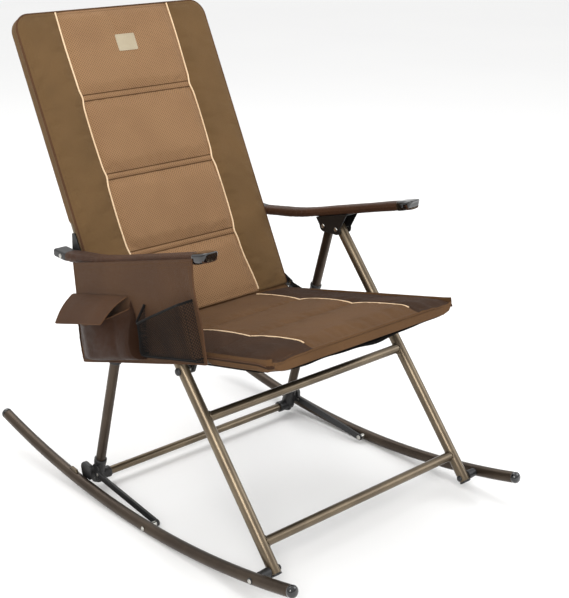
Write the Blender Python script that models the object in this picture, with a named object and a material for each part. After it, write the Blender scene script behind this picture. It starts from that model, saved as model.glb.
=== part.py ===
"""Folding camp rocking chair, in metres, +Z up, facing -Y, standing on the floor at z = 0.

Steel tube legs stand on two bent rockers. Both arms, the seat and the back fold down beside the front legs.
R is the sitter's right (-X), which carries the storage pocket, and L the left (+X).
"""

import math

import bmesh
import bpy
from mathutils import Vector

# Every Y below is measured from the lowest point of the rockers, then the whole chair is moved by this.
SHIFT_Y = -0.030

# Tubes
LEG_R = 0.0125
REAR_R = 0.011
BAR_R = 0.0095
WALL = 0.0012
GAP = 0.0003
SIDES = 12

# Distances of each layer from the middle of the chair, from the inside out
RAIL_X = 0.252
PAD_X = 0.264
FRONT_LEG_X = 0.2855
REAR_LEG_X = 0.2925
LINK_X = (0.3070, 0.3130)
ROCKER_X = 0.3346
ARM_X = 0.2855
BOLT_END_X = 0.3505

# Front legs, side view (y, z)
ROCKER_PIVOT = (-0.3730, 0.0473)
ARM_PIVOT = (0.0245, 0.5410)
SEAT_PIVOT_Z = 0.383
LOWER_BAR_Z = 0.090
UPPER_BAR_Z = 0.300
LEG_FOOT_LENGTH = 0.009
LEG_HEAD_LENGTH = 0.009

# Rear legs
REAR_PIVOT = (0.0665, 0.5410)
HUB = (0.2170, 0.0280)
SLIDER_Z = 0.357
SLIDER_LENGTH = 0.050

# Rockers: an arc of straight facets, so that the chair stands on a flat one
ROCKER_RADIUS = 2.027
ROCKER_FRONT_Y = -0.4750
ROCKER_REAR_Y = 0.5350
FACET_ANGLE = math.radians(1.2)
CAP_LENGTH = 0.0125

# Links from the rockers to the rear hubs
LINK_FRONT = (-0.0270, 0.0140)
LINK_REAR = (0.1900, 0.0450)
LINK_WIDTH = 0.015

# Seat and back: the crease where their faces meet, the slope of each, and their lengths from it
CREASE = (0.1825, 0.3645)
SEAT_SLOPE = math.radians(11.6)
BACK_LEAN = math.radians(25.8)
SEAT_LENGTH = 0.5305
BACK_LENGTH = 0.7386
PAD_START = 0.012
PAD_THICKNESS = 0.012
TUBE_DEPTH = 0.022
FOLD_CLEARANCE = 0.009
# Upper corners of the hinge plates: (distance from the crease, height above the face)
HINGE_TOP = ((-0.001, 0.009), (0.002, 0.016), (0.011, 0.016), (0.017, 0.010))
SEAT_BEND = 0.030
BACK_BEND = 0.038

# Arms
ARM_PATH = ((-0.1936, 0.6417), (0.1550, 0.5525), (0.2840, 0.5345))
ARM_END_Y = 0.3340
ARM_WIDTH = 0.038
ARM_HEIGHT = 0.020

# Storage pocket on the right arm, distances outwards from the middle
PANEL_X = (0.3075, 0.3100)
POUCH_X = (0.3103, 0.3495)
MESH_X = (0.3103, 0.3350)
FLAP_X = 0.3130
CLOTH = 0.0025

BRONZE = (0.16, 0.115, 0.08, 1.0)
BLACK = (0.02, 0.02, 0.022, 1.0)
STEEL = (0.55, 0.54, 0.52, 1.0)
TAN = (0.33, 0.22, 0.12, 1.0)
BROWN = (0.16, 0.09, 0.05, 1.0)
DARK_BROWN = (0.10, 0.05, 0.03, 1.0)
CHARCOAL = (0.03, 0.03, 0.03, 1.0)

SLOTS = {
    "bronze_tube": (BRONZE, 0.6, 0.35),
    "black_metal": (BLACK, 0.4, 0.45),
    "bolt_metal": (STEEL, 1.0, 0.3),
    "black_plastic": (BLACK, 0.0, 0.45),
    "gloss_cap": (BLACK, 0.0, 0.15),
    "seat_fabric": (TAN, 0.0, 0.9),
    "arm_fabric": (BROWN, 0.0, 0.8),
    "pocket_fabric": (DARK_BROWN, 0.0, 0.8),
    "mesh_fabric": (CHARCOAL, 0.0, 0.9),
}

X_AXIS = Vector((1, 0, 0))
Z_AXIS = Vector((0, 0, 1))


def clear_scene():
    for obj in list(bpy.data.objects):
        bpy.data.objects.remove(obj, do_unlink=True)


def make_material(slot):
    colour, metallic, roughness = SLOTS[slot]
    material = bpy.data.materials.new(slot)
    material.use_nodes = True
    shader = material.node_tree.nodes["Principled BSDF"]
    shader.inputs["Base Color"].default_value = colour
    shader.inputs["Metallic"].default_value = metallic
    shader.inputs["Roughness"].default_value = roughness
    return material


def make_object(name, points, faces, slot, pivot):
    """An object whose origin is the point (y, z) of its body's joint, so that it turns about it."""
    origin = Vector((0.0, pivot[0], pivot[1]))
    mesh = bpy.data.meshes.new(name)
    mesh.from_pydata([Vector(p) - origin for p in points], [], faces)
    solid = bmesh.new()
    solid.from_mesh(mesh)
    bmesh.ops.recalc_face_normals(solid, faces=solid.faces)
    solid.to_mesh(mesh)
    solid.free()
    obj = bpy.data.objects.new(name, mesh)
    obj.location = origin + Vector((0.0, SHIFT_Y, 0.0))
    bpy.context.scene.collection.objects.link(obj)
    mesh.shade_smooth()
    mesh.set_sharp_from_angle(angle=math.radians(35))
    if slot:
        mesh.materials.append(materials[slot])
    return obj


def combine(target, helper, operation):
    """Cuts the helper from the target or joins it on, and hides the helper."""
    helper.hide_render = True
    helper.display_type = "WIRE"
    modifier = target.modifiers.new(helper.name, "BOOLEAN")
    modifier.operation = operation
    modifier.solver = "EXACT"
    modifier.object = helper


def circle(radius, sides=SIDES):
    """A polygon round a circle, with a flat at the bottom, its flats touching the circle."""
    corner = radius / math.cos(math.pi / sides)
    turns = [math.pi * (2 * k + 1) / sides - math.pi / 2 for k in range(sides)]
    return [(corner * math.cos(a), corner * math.sin(a)) for a in turns]


def rounded_box(width, height, corner):
    """Twelve points round a box with cut corners, starting where circle starts."""
    half_w = width / 2
    half_h = height / 2
    inner = corner * 0.3
    quarter = [(half_w, half_h - corner), (half_w - inner, half_h - inner), (half_w - corner, half_h)]
    points = list(quarter)
    points += [(-u, v) for u, v in reversed(quarter)]
    points += [(-u, -v) for u, v in quarter]
    points += [(u, -v) for u, v in reversed(quarter)]
    return points[10:] + points[:10]


def rings_along(path, normal, section):
    """Copies of a section along a flat path, mitred at its corners. normal is square to the path's plane."""
    rings = []
    last = len(path) - 1
    for index, point in enumerate(path):
        into = (path[max(index, 1)] - path[max(index, 1) - 1]).normalized()
        out = (path[min(index, last - 1) + 1] - path[min(index, last - 1)]).normalized()
        middle = (into + out).normalized()
        across = normal.cross(middle)
        stretch = 1.0 / middle.dot(into)
        rings.append([point + normal * u + across * (v * stretch) for u, v in section])
    return rings


def side_faces(rings, count, start=0):
    faces = []
    for ring in range(rings - 1):
        for k in range(count):
            a = start + ring * count + k
            b = start + ring * count + (k + 1) % count
            faces.append((a, b, b + count, a + count))
    return faces


def add_tube(name, path, normal, radius, slot, pivot, sides=SIDES, wall=WALL, section=None):
    """A hollow tube along a path, open at both ends."""
    outer = rings_along(path, normal, section or circle(radius, sides))
    inner = rings_along(path, normal, circle(radius - wall, sides))
    points = [p for ring in outer + inner for p in ring]
    half = len(path) * sides
    faces = side_faces(len(path), sides) + side_faces(len(path), sides, half)
    for ring in (0, len(path) - 1):
        for k in range(sides):
            a = ring * sides + k
            b = ring * sides + (k + 1) % sides
            faces.append((a, b, b + half, a + half))
    return make_object(name, points, faces, slot, pivot)


def add_loft(name, rings, slot, pivot):
    """A solid through rings of equal count, with a flat face at each end."""
    count = len(rings[0])
    points = [p for ring in rings for p in ring]
    faces = side_faces(len(rings), count)
    faces.append(tuple(range(count)))
    faces.append(tuple(range(len(points) - count, len(points))))
    return make_object(name, points, faces, slot, pivot)


def add_turned(name, start, axis, profile, slot, pivot, sides=SIDES):
    """A turned solid. profile lists (distance along axis, radius)."""
    axis = axis.normalized()
    across = axis.cross(X_AXIS if abs(axis.x) < 0.5 else Z_AXIS).normalized()
    up = axis.cross(across)
    rings = []
    for distance, radius in profile:
        centre = start + axis * distance
        rings.append([centre + across * u + up * v for u, v in circle(radius, sides)])
    return add_loft(name, rings, slot, pivot)


def add_plate(name, outline, x_range, side, slot, pivot):
    """A plate cut to an outline in the side view and extruded across the chair."""
    rings = [[Vector((side * x, y, z)) for y, z in outline] for x in x_range]
    return add_loft(name, rings, slot, pivot)


def add_bolt(name, centre, side, steps, slot, pivot):
    """A bolt across the chair. steps lists (x where it starts, x where it ends, radius)."""
    profile = []
    for start, end, radius in steps:
        profile += [(start, radius), (end, radius)]
    return add_turned(name, Vector((0, *centre)), X_AXIS * side, profile, slot, pivot)


def drill(target, centre, side, radius, x_range):
    """A hole across the chair, through everything in x_range."""
    name = f"{target.name}_hole{len(target.modifiers)}"
    hole = add_bolt(name, centre, side, [(*x_range, radius)], None, (0, 0))
    combine(target, hole, "DIFFERENCE")


def at(x, point):
    return Vector((x, point[0], point[1]))


def along(start, end, distance):
    """The point (y, z) this far from start on the way to end."""
    way = Vector(end) - Vector(start)
    return tuple(Vector(start) + way.normalized() * distance)


def height_on(start, end, z):
    """The point of the line through start and end that is this high."""
    share = (z - start[1]) / (end[1] - start[1])
    return (start[0] + (end[0] - start[0]) * share, z)


def disc(centre, radius, first, last, steps):
    """Points of an arc round centre, in degrees."""
    turns = [math.radians(first + (last - first) * k / steps) for k in range(steps + 1)]
    return [(centre[0] + radius * math.cos(a), centre[1] + radius * math.sin(a)) for a in turns]


def seat_point(forward, rise):
    """(y, z) of a point this far forward of the crease along the seat and this far above its face."""
    y = CREASE[0] - forward * math.cos(SEAT_SLOPE) + rise * math.sin(SEAT_SLOPE)
    z = CREASE[1] + forward * math.sin(SEAT_SLOPE) + rise * math.cos(SEAT_SLOPE)
    return (y, z)


def back_point(up, behind):
    """(y, z) of a point this far up the back from the crease and this far behind its face."""
    y = CREASE[0] + up * math.sin(BACK_LEAN) + behind * math.cos(BACK_LEAN)
    z = CREASE[1] + up * math.cos(BACK_LEAN) - behind * math.sin(BACK_LEAN)
    return (y, z)


# The points that the joints turn about, worked out from the dimensions above
SEAT_PIVOT = height_on(ROCKER_PIVOT, ARM_PIVOT, SEAT_PIVOT_Z)
SLIDER = height_on(REAR_PIVOT, HUB, SLIDER_Z)
OPENING = math.radians(90) + BACK_LEAN - SEAT_SLOPE
PIVOT_REACH = FOLD_CLEARANCE / math.tan(OPENING / 2)
BACK_PIVOT = seat_point(PIVOT_REACH, FOLD_CLEARANCE)
ARM_REAR_PIVOT = (
    ARM_PIVOT[0] + BACK_PIVOT[0] - SEAT_PIVOT[0],
    ARM_PIVOT[1] + BACK_PIVOT[1] - SEAT_PIVOT[1],
)


def build_front_frame():
    """Two straight legs and two bars between them, with their bolts."""
    whole = (0.0, 0.0)
    foot = along(ROCKER_PIVOT, ARM_PIVOT, -LEG_FOOT_LENGTH)
    head = along(ARM_PIVOT, ROCKER_PIVOT, -LEG_HEAD_LENGTH)
    inner = FRONT_LEG_X - LEG_R
    outer = FRONT_LEG_X + LEG_R
    for side, mark in ((-1, "R"), (1, "L")):
        path = [at(side * FRONT_LEG_X, foot), at(side * FRONT_LEG_X, head)]
        leg = add_tube(f"front_leg_{mark}", path, X_AXIS, LEG_R, "bronze_tube", whole)
        for centre in (ROCKER_PIVOT, SEAT_PIVOT, ARM_PIVOT):
            drill(leg, centre, side, 0.0040, (inner - 0.005, outer + 0.005))
        way = path[1] - path[0]
        plug = [(-0.0030, LEG_R), (-GAP, LEG_R), (-GAP + 0.0001, 0.0108), (0.0035, 0.0104)]
        add_turned(f"foot_plug_{mark}", path[0], way, plug, "black_plastic", whole)
        steps = [
            (inner - 0.0035, inner - GAP, 0.0070),
            (inner - GAP + 0.0001, outer + GAP, 0.0035),
            (outer + GAP + 0.0001, ROCKER_X - LEG_R - GAP, 0.0085),
            (ROCKER_X - LEG_R - GAP + 0.0001, ROCKER_X + LEG_R + GAP, 0.0035),
            (ROCKER_X + LEG_R + GAP + 0.0001, BOLT_END_X, 0.0070),
        ]
        add_bolt(f"rocker_bolt_{mark}", ROCKER_PIVOT, side, steps, "bolt_metal", whole)
        steps = [
            (0.2580, 0.2606, 0.0050),
            (0.2607, 0.2680, 0.0030),
            (0.2681, inner - GAP, 0.0055),
            (inner - GAP + 0.0001, outer + GAP, 0.0035),
            (outer + GAP + 0.0001, outer + 0.0045, 0.0075),
        ]
        add_bolt(f"seat_bolt_{mark}", SEAT_PIVOT, side, steps, "bolt_metal", whole)
    for name, height in (("crossbar_lower", LOWER_BAR_Z), ("crossbar_upper", UPPER_BAR_Z)):
        level = height_on(ROCKER_PIVOT, ARM_PIVOT, height)
        ends = [at(-inner + GAP, level), at(inner - GAP, level)]
        add_tube(name, ends, Z_AXIS, BAR_R, "bronze_tube", whole)


def rocker_path():
    """Facet corners of the rocker's middle line, with one facet level at the lowest point."""
    corners = []
    low = 0.5 * FACET_ANGLE
    centre_z = LEG_R + ROCKER_RADIUS * math.cos(low)
    first = math.asin(ROCKER_FRONT_Y / ROCKER_RADIUS)
    last = math.asin(ROCKER_REAR_Y / ROCKER_RADIUS)
    turns = [first]
    steps = math.floor((low - first) / FACET_ANGLE)
    turns += [low - FACET_ANGLE * k for k in range(steps, -1, -1) if low - FACET_ANGLE * k > first + 0.004]
    while turns[-1] + FACET_ANGLE < last - 0.004:
        turns.append(turns[-1] + FACET_ANGLE)
    turns.append(last)
    for turn in turns:
        corners.append((ROCKER_RADIUS * math.sin(turn), centre_z - ROCKER_RADIUS * math.cos(turn)))
    return corners


def build_rockers():
    """Bent tubes that turn about the feet of the front legs, each with its end caps, tab and link."""
    corners = rocker_path()
    inner = ROCKER_X - LEG_R
    outer = ROCKER_X + LEG_R
    for side, mark in ((-1, "R"), (1, "L")):
        path = [at(side * ROCKER_X, corner) for corner in corners]
        rocker = add_tube(f"rocker_{mark}", path, X_AXIS, LEG_R, "bronze_tube", ROCKER_PIVOT)
        for centre in (ROCKER_PIVOT, LINK_FRONT):
            drill(rocker, centre, side, 0.0040, (inner - 0.005, outer + 0.005))
        cap = [(-0.010, 0.0104), (GAP - 0.0001, 0.0108)]
        cap += [(GAP, LEG_R), (CAP_LENGTH - 0.003, LEG_R), (CAP_LENGTH, 0.0095)]
        for end, near, name in ((path[0], path[1], "front"), (path[-1], path[-2], "rear")):
            add_turned(f"rocker_cap_{name}_{mark}", end, end - near, cap, "black_plastic", ROCKER_PIVOT)
        foot = [along_rocker(y, LEG_R - 0.0008) for y in (0.236, 0.252, 0.268)]
        tip = [along_rocker(y, LEG_R + 0.007) for y in (0.262, 0.242)]
        middle = (ROCKER_X - 0.003, ROCKER_X + 0.003)
        tab = add_plate(f"rocker_{mark}_tab", foot + tip, middle, side, None, (0, 0))
        combine(rocker, tab, "UNION")
        rest = [(0.2000, 0.0300), (0.2350, 0.0300), (0.2400, 0.0560), (0.2300, 0.0680), (0.2000, 0.0640)]
        add_plate(f"hub_rest_{mark}", rest, (0.3140, inner - GAP), side, "black_plastic", ROCKER_PIVOT)
        steps = [
            (0.3038, LINK_X[0] - GAP, 0.0060),
            (LINK_X[0] - GAP + 0.0001, LINK_X[1] + GAP, 0.0030),
            (LINK_X[1] + GAP + 0.0001, inner - GAP, 0.0060),
            (inner - GAP + 0.0001, outer + GAP, 0.0035),
            (outer + GAP + 0.0001, BOLT_END_X, 0.0065),
        ]
        add_bolt(f"link_bolt_{mark}", LINK_FRONT, side, steps, "bolt_metal", ROCKER_PIVOT)
        tilt = math.degrees(math.atan2(LINK_REAR[1] - LINK_FRONT[1], LINK_REAR[0] - LINK_FRONT[0]))
        outline = disc(LINK_REAR, LINK_WIDTH / 2, tilt - 90, tilt + 90, 6)
        outline += disc(LINK_FRONT, LINK_WIDTH / 2, tilt + 90, tilt + 270, 6)
        link = add_plate(f"link_{mark}", outline, LINK_X, side, "black_plastic", LINK_FRONT)
        drill(link, LINK_FRONT, side, 0.0034, (LINK_X[0] - 0.002, LINK_X[1] + 0.002))
        head = (LINK_X[1] - 0.001, LINK_X[1] + 0.0028, 0.0055)
        rivet = add_bolt(f"link_{mark}_rivet", LINK_REAR, side, [head], None, (0, 0))
        combine(link, rivet, "UNION")


def along_rocker(y, above):
    """The point (y, z) this far above the rocker's middle line, square to it."""
    turn = math.asin(y / ROCKER_RADIUS)
    reach = ROCKER_RADIUS - above
    centre_z = LEG_R + ROCKER_RADIUS * math.cos(0.5 * FACET_ANGLE)
    return (reach * math.sin(turn), centre_z - reach * math.cos(turn))


def build_rear_frame():
    """Rear legs held at the arm brackets, the hubs at their feet, the bar between them and the two sliders."""
    bar_end = REAR_LEG_X - REAR_R - 0.002
    upright = Vector((0, REAR_PIVOT[0] - HUB[0], REAR_PIVOT[1] - HUB[1])).normalized()
    top = along(REAR_PIVOT, HUB, -0.006)
    bottom = along(HUB, REAR_PIVOT, 0.004)
    for side, mark in ((-1, "R"), (1, "L")):
        x = side * REAR_LEG_X
        path = [at(x, bottom), at(x, top)]
        leg = add_tube(f"rear_leg_{mark}", path, X_AXIS, REAR_R, "bronze_tube", REAR_PIVOT)
        reach = (REAR_LEG_X - REAR_R - 0.005, REAR_LEG_X + REAR_R + 0.005)
        drill(leg, REAR_PIVOT, side, 0.0035, reach)
        body = [(-0.0125, 0.013), (0.050, 0.014)]
        hub = add_turned(f"hub_{mark}", at(x, HUB), upright, body, "black_plastic", REAR_PIVOT)
        socket = add_bolt(f"hub_{mark}_socket", HUB, side, [(0.262, 0.3062, 0.0135)], None, (0, 0))
        combine(hub, socket, "UNION")
        bore = [(0.0035, REAR_R + GAP), (0.080, REAR_R + GAP)]
        bore = add_turned(f"hub_{mark}_bore", at(x, HUB), upright, bore, None, (0, 0))
        combine(hub, bore, "DIFFERENCE")
        drill(hub, HUB, side, BAR_R + GAP, (0.255, bar_end + GAP))
        collar = add_turned(
            f"slider_{mark}",
            at(x, SLIDER),
            upright,
            [(-SLIDER_LENGTH / 2, 0.0136), (0.0, 0.0142), (SLIDER_LENGTH / 2, 0.0136)],
            "black_plastic",
            SLIDER,
        )
        bore = [(-0.05, REAR_R + GAP), (0.05, REAR_R + GAP)]
        bore = add_turned(f"slider_{mark}_bore", at(x, SLIDER), upright, bore, None, (0, 0))
        combine(collar, bore, "DIFFERENCE")
    ends = [at(-bar_end, HUB), at(bar_end, HUB)]
    add_tube("rear_crossbar", ends, Z_AXIS, BAR_R, "bronze_tube", REAR_PIVOT)


def bend(corner, inwards, onwards, radius, steps=4):
    """Points of a quarter bend that cuts a square corner, from the inwards side to the onwards side."""
    centre = corner + inwards * radius + onwards * radius
    turns = [math.pi / 2 * k / steps for k in range(steps + 1)]
    return [centre - inwards * radius * math.sin(a) - onwards * radius * math.cos(a) for a in turns]


def add_pad(name, start, length, way, depth, corner, pivot):
    """A flat pad on a tube frame: start is the middle of its hidden end. way is along it, depth into it."""
    outline = [start + X_AXIS * PAD_X, start - X_AXIS * PAD_X]
    far = start + way * length
    for side in (-1, 1):
        arc = bend(far + X_AXIS * side * PAD_X, -way, X_AXIS * -side, corner)
        outline += arc if side < 0 else arc[::-1]
    rings = [[p + depth * d for p in outline] for d in (0.0, PAD_THICKNESS)]
    return add_loft(name, rings, "seat_fabric", pivot)


def add_bent_end(name, far, way, normal, radius, straight, pivot):
    """The bent tube that closes a frame: two quarter bends with a bar between them."""
    path = []
    for side in (-1, 1):
        corner = far + X_AXIS * side * RAIL_X
        arc = bend(corner, -way, X_AXIS * -side, radius)
        tail = corner - way * (radius + straight)
        path += [tail, *arc] if side < 0 else [*arc[::-1], tail]
    return add_tube(name, path, normal, BAR_R, "bronze_tube", pivot)


def build_seat():
    """Tube frame of the seat, the padded cover on it, and the plates that hinge it."""
    way = Vector((0, -math.cos(SEAT_SLOPE), math.sin(SEAT_SLOPE)))
    down = Vector((0, -math.sin(SEAT_SLOPE), -math.cos(SEAT_SLOPE)))
    far = at(0.0, seat_point(SEAT_LENGTH - 0.0115, -TUBE_DEPTH))
    straight = 0.015
    add_bent_end("seat_front_tube", far, way, down, SEAT_BEND, straight, SEAT_PIVOT)
    rail_end = SEAT_LENGTH - 0.0115 - SEAT_BEND - straight - GAP
    start = at(0.0, seat_point(PAD_START, 0.0))
    add_pad("seat_pad", start, SEAT_LENGTH - PAD_START, way, down, 0.020, SEAT_PIVOT)
    for side, mark in ((-1, "R"), (1, "L")):
        ends = [at(side * RAIL_X, seat_point(s, -TUBE_DEPTH)) for s in (PAD_START, rail_end)]
        rail = add_tube(f"seat_rail_{mark}", ends, X_AXIS, BAR_R, "bronze_tube", SEAT_PIVOT)
        tab = disc(SEAT_PIVOT, 0.010, 190, 350, 6)
        tab.append((SEAT_PIVOT[0] + 0.022, SEAT_PIVOT[1] + 0.018))
        tab.append((SEAT_PIVOT[0] - 0.022, SEAT_PIVOT[1] + 0.027))
        layer = (RAIL_X + BAR_R - WALL / 2, 0.2676)
        tab = add_plate(f"seat_rail_{mark}_tab", tab, layer, side, None, (0, 0))
        combine(rail, tab, "UNION")
        drill(rail, SEAT_PIVOT, side, 0.0034, (0.258, 0.272))
        plate = [seat_point(s, h) for s, h in HINGE_TOP]
        plate += [seat_point(s, h) for s, h in ((0.068, -0.012), (0.068, -0.030), (0.004, -0.030))]
        plate = add_plate(f"seat_hinge_{mark}", plate, (0.2645, 0.2667), side, "black_metal", SEAT_PIVOT)
        drill(plate, BACK_PIVOT, side, 0.0034, (0.260, 0.270))
        pin = [(0.2650, REAR_LEG_X - 0.0148, 0.0050)]
        pin = add_bolt(f"seat_hinge_{mark}_pin", SLIDER, side, pin, None, (0, 0))
        combine(plate, pin, "UNION")
    ends = [at(sign * (RAIL_X - BAR_R - GAP), seat_point(0.025, -TUBE_DEPTH)) for sign in (-1, 1)]
    add_tube("seat_rear_bar", ends, Z_AXIS, BAR_R, "bronze_tube", SEAT_PIVOT)


def build_back():
    """Tube frame of the back, the padded cover on it, and the plates that hold it to the seat and arms."""
    way = Vector((0, math.sin(BACK_LEAN), math.cos(BACK_LEAN)))
    behind = Vector((0, math.cos(BACK_LEAN), -math.sin(BACK_LEAN)))
    far = at(0.0, back_point(BACK_LENGTH - 0.0115, TUBE_DEPTH))
    straight = 0.040
    add_bent_end("back_top_tube", far, way, behind, BACK_BEND, straight, BACK_PIVOT)
    rail_end = BACK_LENGTH - 0.0115 - BACK_BEND - straight - GAP
    start = at(0.0, back_point(PAD_START, 0.0))
    add_pad("back_pad", start, BACK_LENGTH - PAD_START, way, behind, BACK_BEND, BACK_PIVOT)
    for side, mark in ((-1, "R"), (1, "L")):
        ends = [at(side * RAIL_X, back_point(s, TUBE_DEPTH)) for s in (PAD_START, rail_end)]
        add_tube(f"back_rail_{mark}", ends, X_AXIS, BAR_R, "bronze_tube", BACK_PIVOT)
        plate = [back_point(s, -h) for s, h in HINGE_TOP]
        plate += [back_point(s, -h) for s, h in ((0.046, -0.014), (0.046, -0.030), (0.004, -0.030))]
        plate = add_plate(f"back_hinge_{mark}", plate, (0.2671, 0.2693), side, "black_metal", BACK_PIVOT)
        pin = add_bolt(f"back_hinge_{mark}_pin", BACK_PIVOT, side, [(0.2643, 0.2708, 0.0030)], None, (0, 0))
        combine(plate, pin, "UNION")
        plate = disc(ARM_REAR_PIVOT, 0.009, -100, 20, 5)
        plate += [back_point(0.2460, 0.0240), back_point(0.2420, 0.0130), back_point(0.1700, 0.0130)]
        plate = add_plate(f"back_bracket_{mark}", plate, (0.2619, 0.2659), side, "black_metal", BACK_PIVOT)
        pin = [(0.2630, 0.2985, 0.0030)]
        pin = add_bolt(f"back_bracket_{mark}_pin", ARM_REAR_PIVOT, side, pin, None, (0, 0))
        combine(plate, pin, "UNION")
    ends = [at(sign * (RAIL_X - BAR_R - GAP), back_point(0.030, TUBE_DEPTH)) for sign in (-1, 1)]
    add_tube("back_lower_bar", ends, Z_AXIS, BAR_R, "bronze_tube", BACK_PIVOT)


def arm_under(y, below):
    """(y, z) of a point this far below the underside of the arm's straight front part."""
    (y0, z0), (y1, z1) = ARM_PATH[:2]
    slope = math.atan2(z1 - z0, y1 - y0)
    return (y, z0 + (y - y0) * math.tan(slope) - (ARM_HEIGHT / 2 + below) / math.cos(slope))


def arm_height(y, above):
    """(y, z) of a point this far above the underside of the arm's straight front part."""
    return arm_under(y, -above)


def build_arms():
    """Each arm: a tube in a padded sleeve, its end caps, and the bracket that holds both legs."""
    section = rounded_box(ARM_WIDTH, ARM_HEIGHT, 0.006)
    for side, mark in ((-1, "R"), (1, "L")):
        path = [at(side * ARM_X, point) for point in ARM_PATH]
        bore = BAR_R + GAP
        name = f"arm_sleeve_{mark}"
        add_tube(name, path, X_AXIS, bore, "arm_fabric", ARM_PIVOT, wall=0.0, section=section)
        add_tube(f"arm_tube_{mark}", path, X_AXIS, BAR_R - 0.0002, "bronze_tube", ARM_PIVOT)
        into = (path[0] - path[1]).normalized()
        up = X_AXIS.cross(into) * -1
        rings = []
        for forward, raise_by, wide, high in (
            (0.0003, 0.0, 0.036, 0.019),
            (0.009, 0.0002, 0.035, 0.018),
            (0.017, 0.003, 0.029, 0.011),
            (0.021, 0.005, 0.020, 0.005),
        ):
            centre = path[0] + into * forward + up * raise_by
            rings.append([centre + X_AXIS * u + up * v for u, v in rounded_box(wide, high, high * 0.3)])
        add_loft(f"arm_front_cap_{mark}", rings, "gloss_cap", ARM_PIVOT)
        onwards = (path[2] - path[1]).normalized()
        tilted = X_AXIS.cross(onwards)
        first = path[2] + onwards * 0.0005
        rings = [[first + X_AXIS * u + tilted * v for u, v in rounded_box(0.034, 0.018, 0.004)]]
        for y, wide, high in ((ARM_END_Y - 0.004, 0.034, 0.018), (ARM_END_Y, 0.028, 0.013)):
            centre = at(side * ARM_X, (y, ARM_PATH[2][1]))
            rings.append([centre + Vector((u, 0, v)) for u, v in rounded_box(wide, high, 0.004)])
        cap = add_loft(f"arm_rear_cap_{mark}", rings, "black_plastic", ARM_PIVOT)
        drill(cap, ARM_REAR_PIVOT, side, 0.0036, (0.262, 0.309))
        build_bracket(side, mark)


def build_bracket(side, mark):
    """Two plates and a web under the arm, with a pin for each leg."""
    outline = [arm_under(-0.010, GAP), arm_under(0.092, GAP)]
    outline += disc(REAR_PIVOT, 0.013, 0, -90, 3)
    outline += disc(ARM_PIVOT, 0.013, -90, -200, 4)
    bracket = add_plate(f"arm_bracket_{mark}", outline, (0.2680, 0.2705), side, "black_metal", ARM_PIVOT)
    outer = add_plate(f"arm_bracket_{mark}_outer", outline, (0.3040, 0.3065), side, None, (0, 0))
    combine(bracket, outer, "UNION")
    web = [arm_under(-0.009, GAP + 0.0001), arm_under(0.091, GAP + 0.0001)]
    web += [arm_under(0.091, 0.003), arm_under(-0.009, 0.003)]
    web = add_plate(f"arm_bracket_{mark}_web", web, (0.2690, 0.3055), side, None, (0, 0))
    combine(bracket, web, "UNION")
    for centre, name in ((ARM_PIVOT, "front"), (REAR_PIVOT, "rear")):
        steps = [(0.2656, 0.2677, 0.0050), (0.2678, 0.3062, 0.0030)]
        pin = add_bolt(f"arm_bracket_{mark}_{name}_pin", centre, side, steps, None, (0, 0))
        combine(bracket, pin, "UNION")


def build_pocket():
    """Cloth panel hung on the right arm, with a flapped pouch and a mesh pocket on its outer face."""
    side = -1
    lower = [(0.2215, 0.3110), (-0.2130, 0.4360)]
    upper = [arm_height(-0.1660, 0.012), arm_height(0.1550, 0.012), (0.2430, 0.5330)]
    panel = add_plate("pocket_panel", lower + upper, PANEL_X, side, "pocket_fabric", ARM_PIVOT)
    hem = [arm_height(-0.1600, 0.004), arm_height(0.1500, 0.004)]
    hem += [arm_height(0.1500, 0.011), arm_height(-0.1600, 0.011)]
    hem = add_plate("pocket_panel_hem", hem, (0.3048, 0.3090), side, None, (0, 0))
    combine(panel, hem, "UNION")
    inner = [(0.2225, 0.3150), (0.0380, 0.3680), (0.0540, 0.4900), (0.2360, 0.4490)]
    outer = [(0.2225, 0.3150), (0.0380, 0.3680), (0.0500, 0.4400), (0.2320, 0.3990)]
    add_open_pocket("pouch", inner, outer, POUCH_X, side, "pocket_fabric")
    inner = [(0.0330, 0.3700), (-0.2050, 0.4385), (-0.1780, 0.5600), (0.0480, 0.5050)]
    outer = [(0.0300, 0.3760), (-0.1900, 0.4395), (-0.1620, 0.5480), (0.0440, 0.4950)]
    add_open_pocket("mesh_pocket", inner, outer, MESH_X, side, "mesh_fabric")
    ends = ((0.0540, 0.5050), (0.2440, 0.4620))
    drop = 0.0535
    rings = []
    for y, z in ends:
        rings.append([
            Vector((side * FLAP_X, y, z - 0.001)),
            Vector((side * (FLAP_X + 0.001), y, z + 0.002)),
            Vector((side * (POUCH_X[1] + 0.0005), y, z - drop + 0.002)),
            Vector((side * (POUCH_X[1] + 0.0005), y, z - drop - 0.001)),
        ])
    add_loft("pouch_flap", rings, "pocket_fabric", ends[1])


def add_open_pocket(name, inner, outer, x_range, side, slot):
    """A pocket open at the top. Both outlines run along the bottom first, then back along the top."""
    rings = [[Vector((side * x, y, z)) for y, z in outline] for x, outline in zip(x_range, (inner, outer))]
    pocket = add_loft(name, rings, slot, ARM_PIVOT)
    hollow = []
    for x, outline in ((x_range[0] + CLOTH, inner), (x_range[1] - CLOTH, outer)):
        (y0, z0), (y1, z1), (y2, z2), (y3, z3) = outline
        out = math.copysign(CLOTH, y0 - y1)
        lift = CLOTH * 1.1
        hollow.append([
            Vector((side * x, y0 - out, z0 + lift)),
            Vector((side * x, y1 + out, z1 + lift)),
            Vector((side * x, y2 + out, z2 + 0.030)),
            Vector((side * x, y3 - out, z3 + 0.030)),
        ])
    hollow = add_loft(f"{name}_hollow", hollow, None, (0, 0))
    combine(pocket, hollow, "DIFFERENCE")


clear_scene()
materials = {slot: make_material(slot) for slot in SLOTS}
build_front_frame()
build_rockers()
build_rear_frame()
build_seat()
build_back()
build_arms()
build_pocket()
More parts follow.
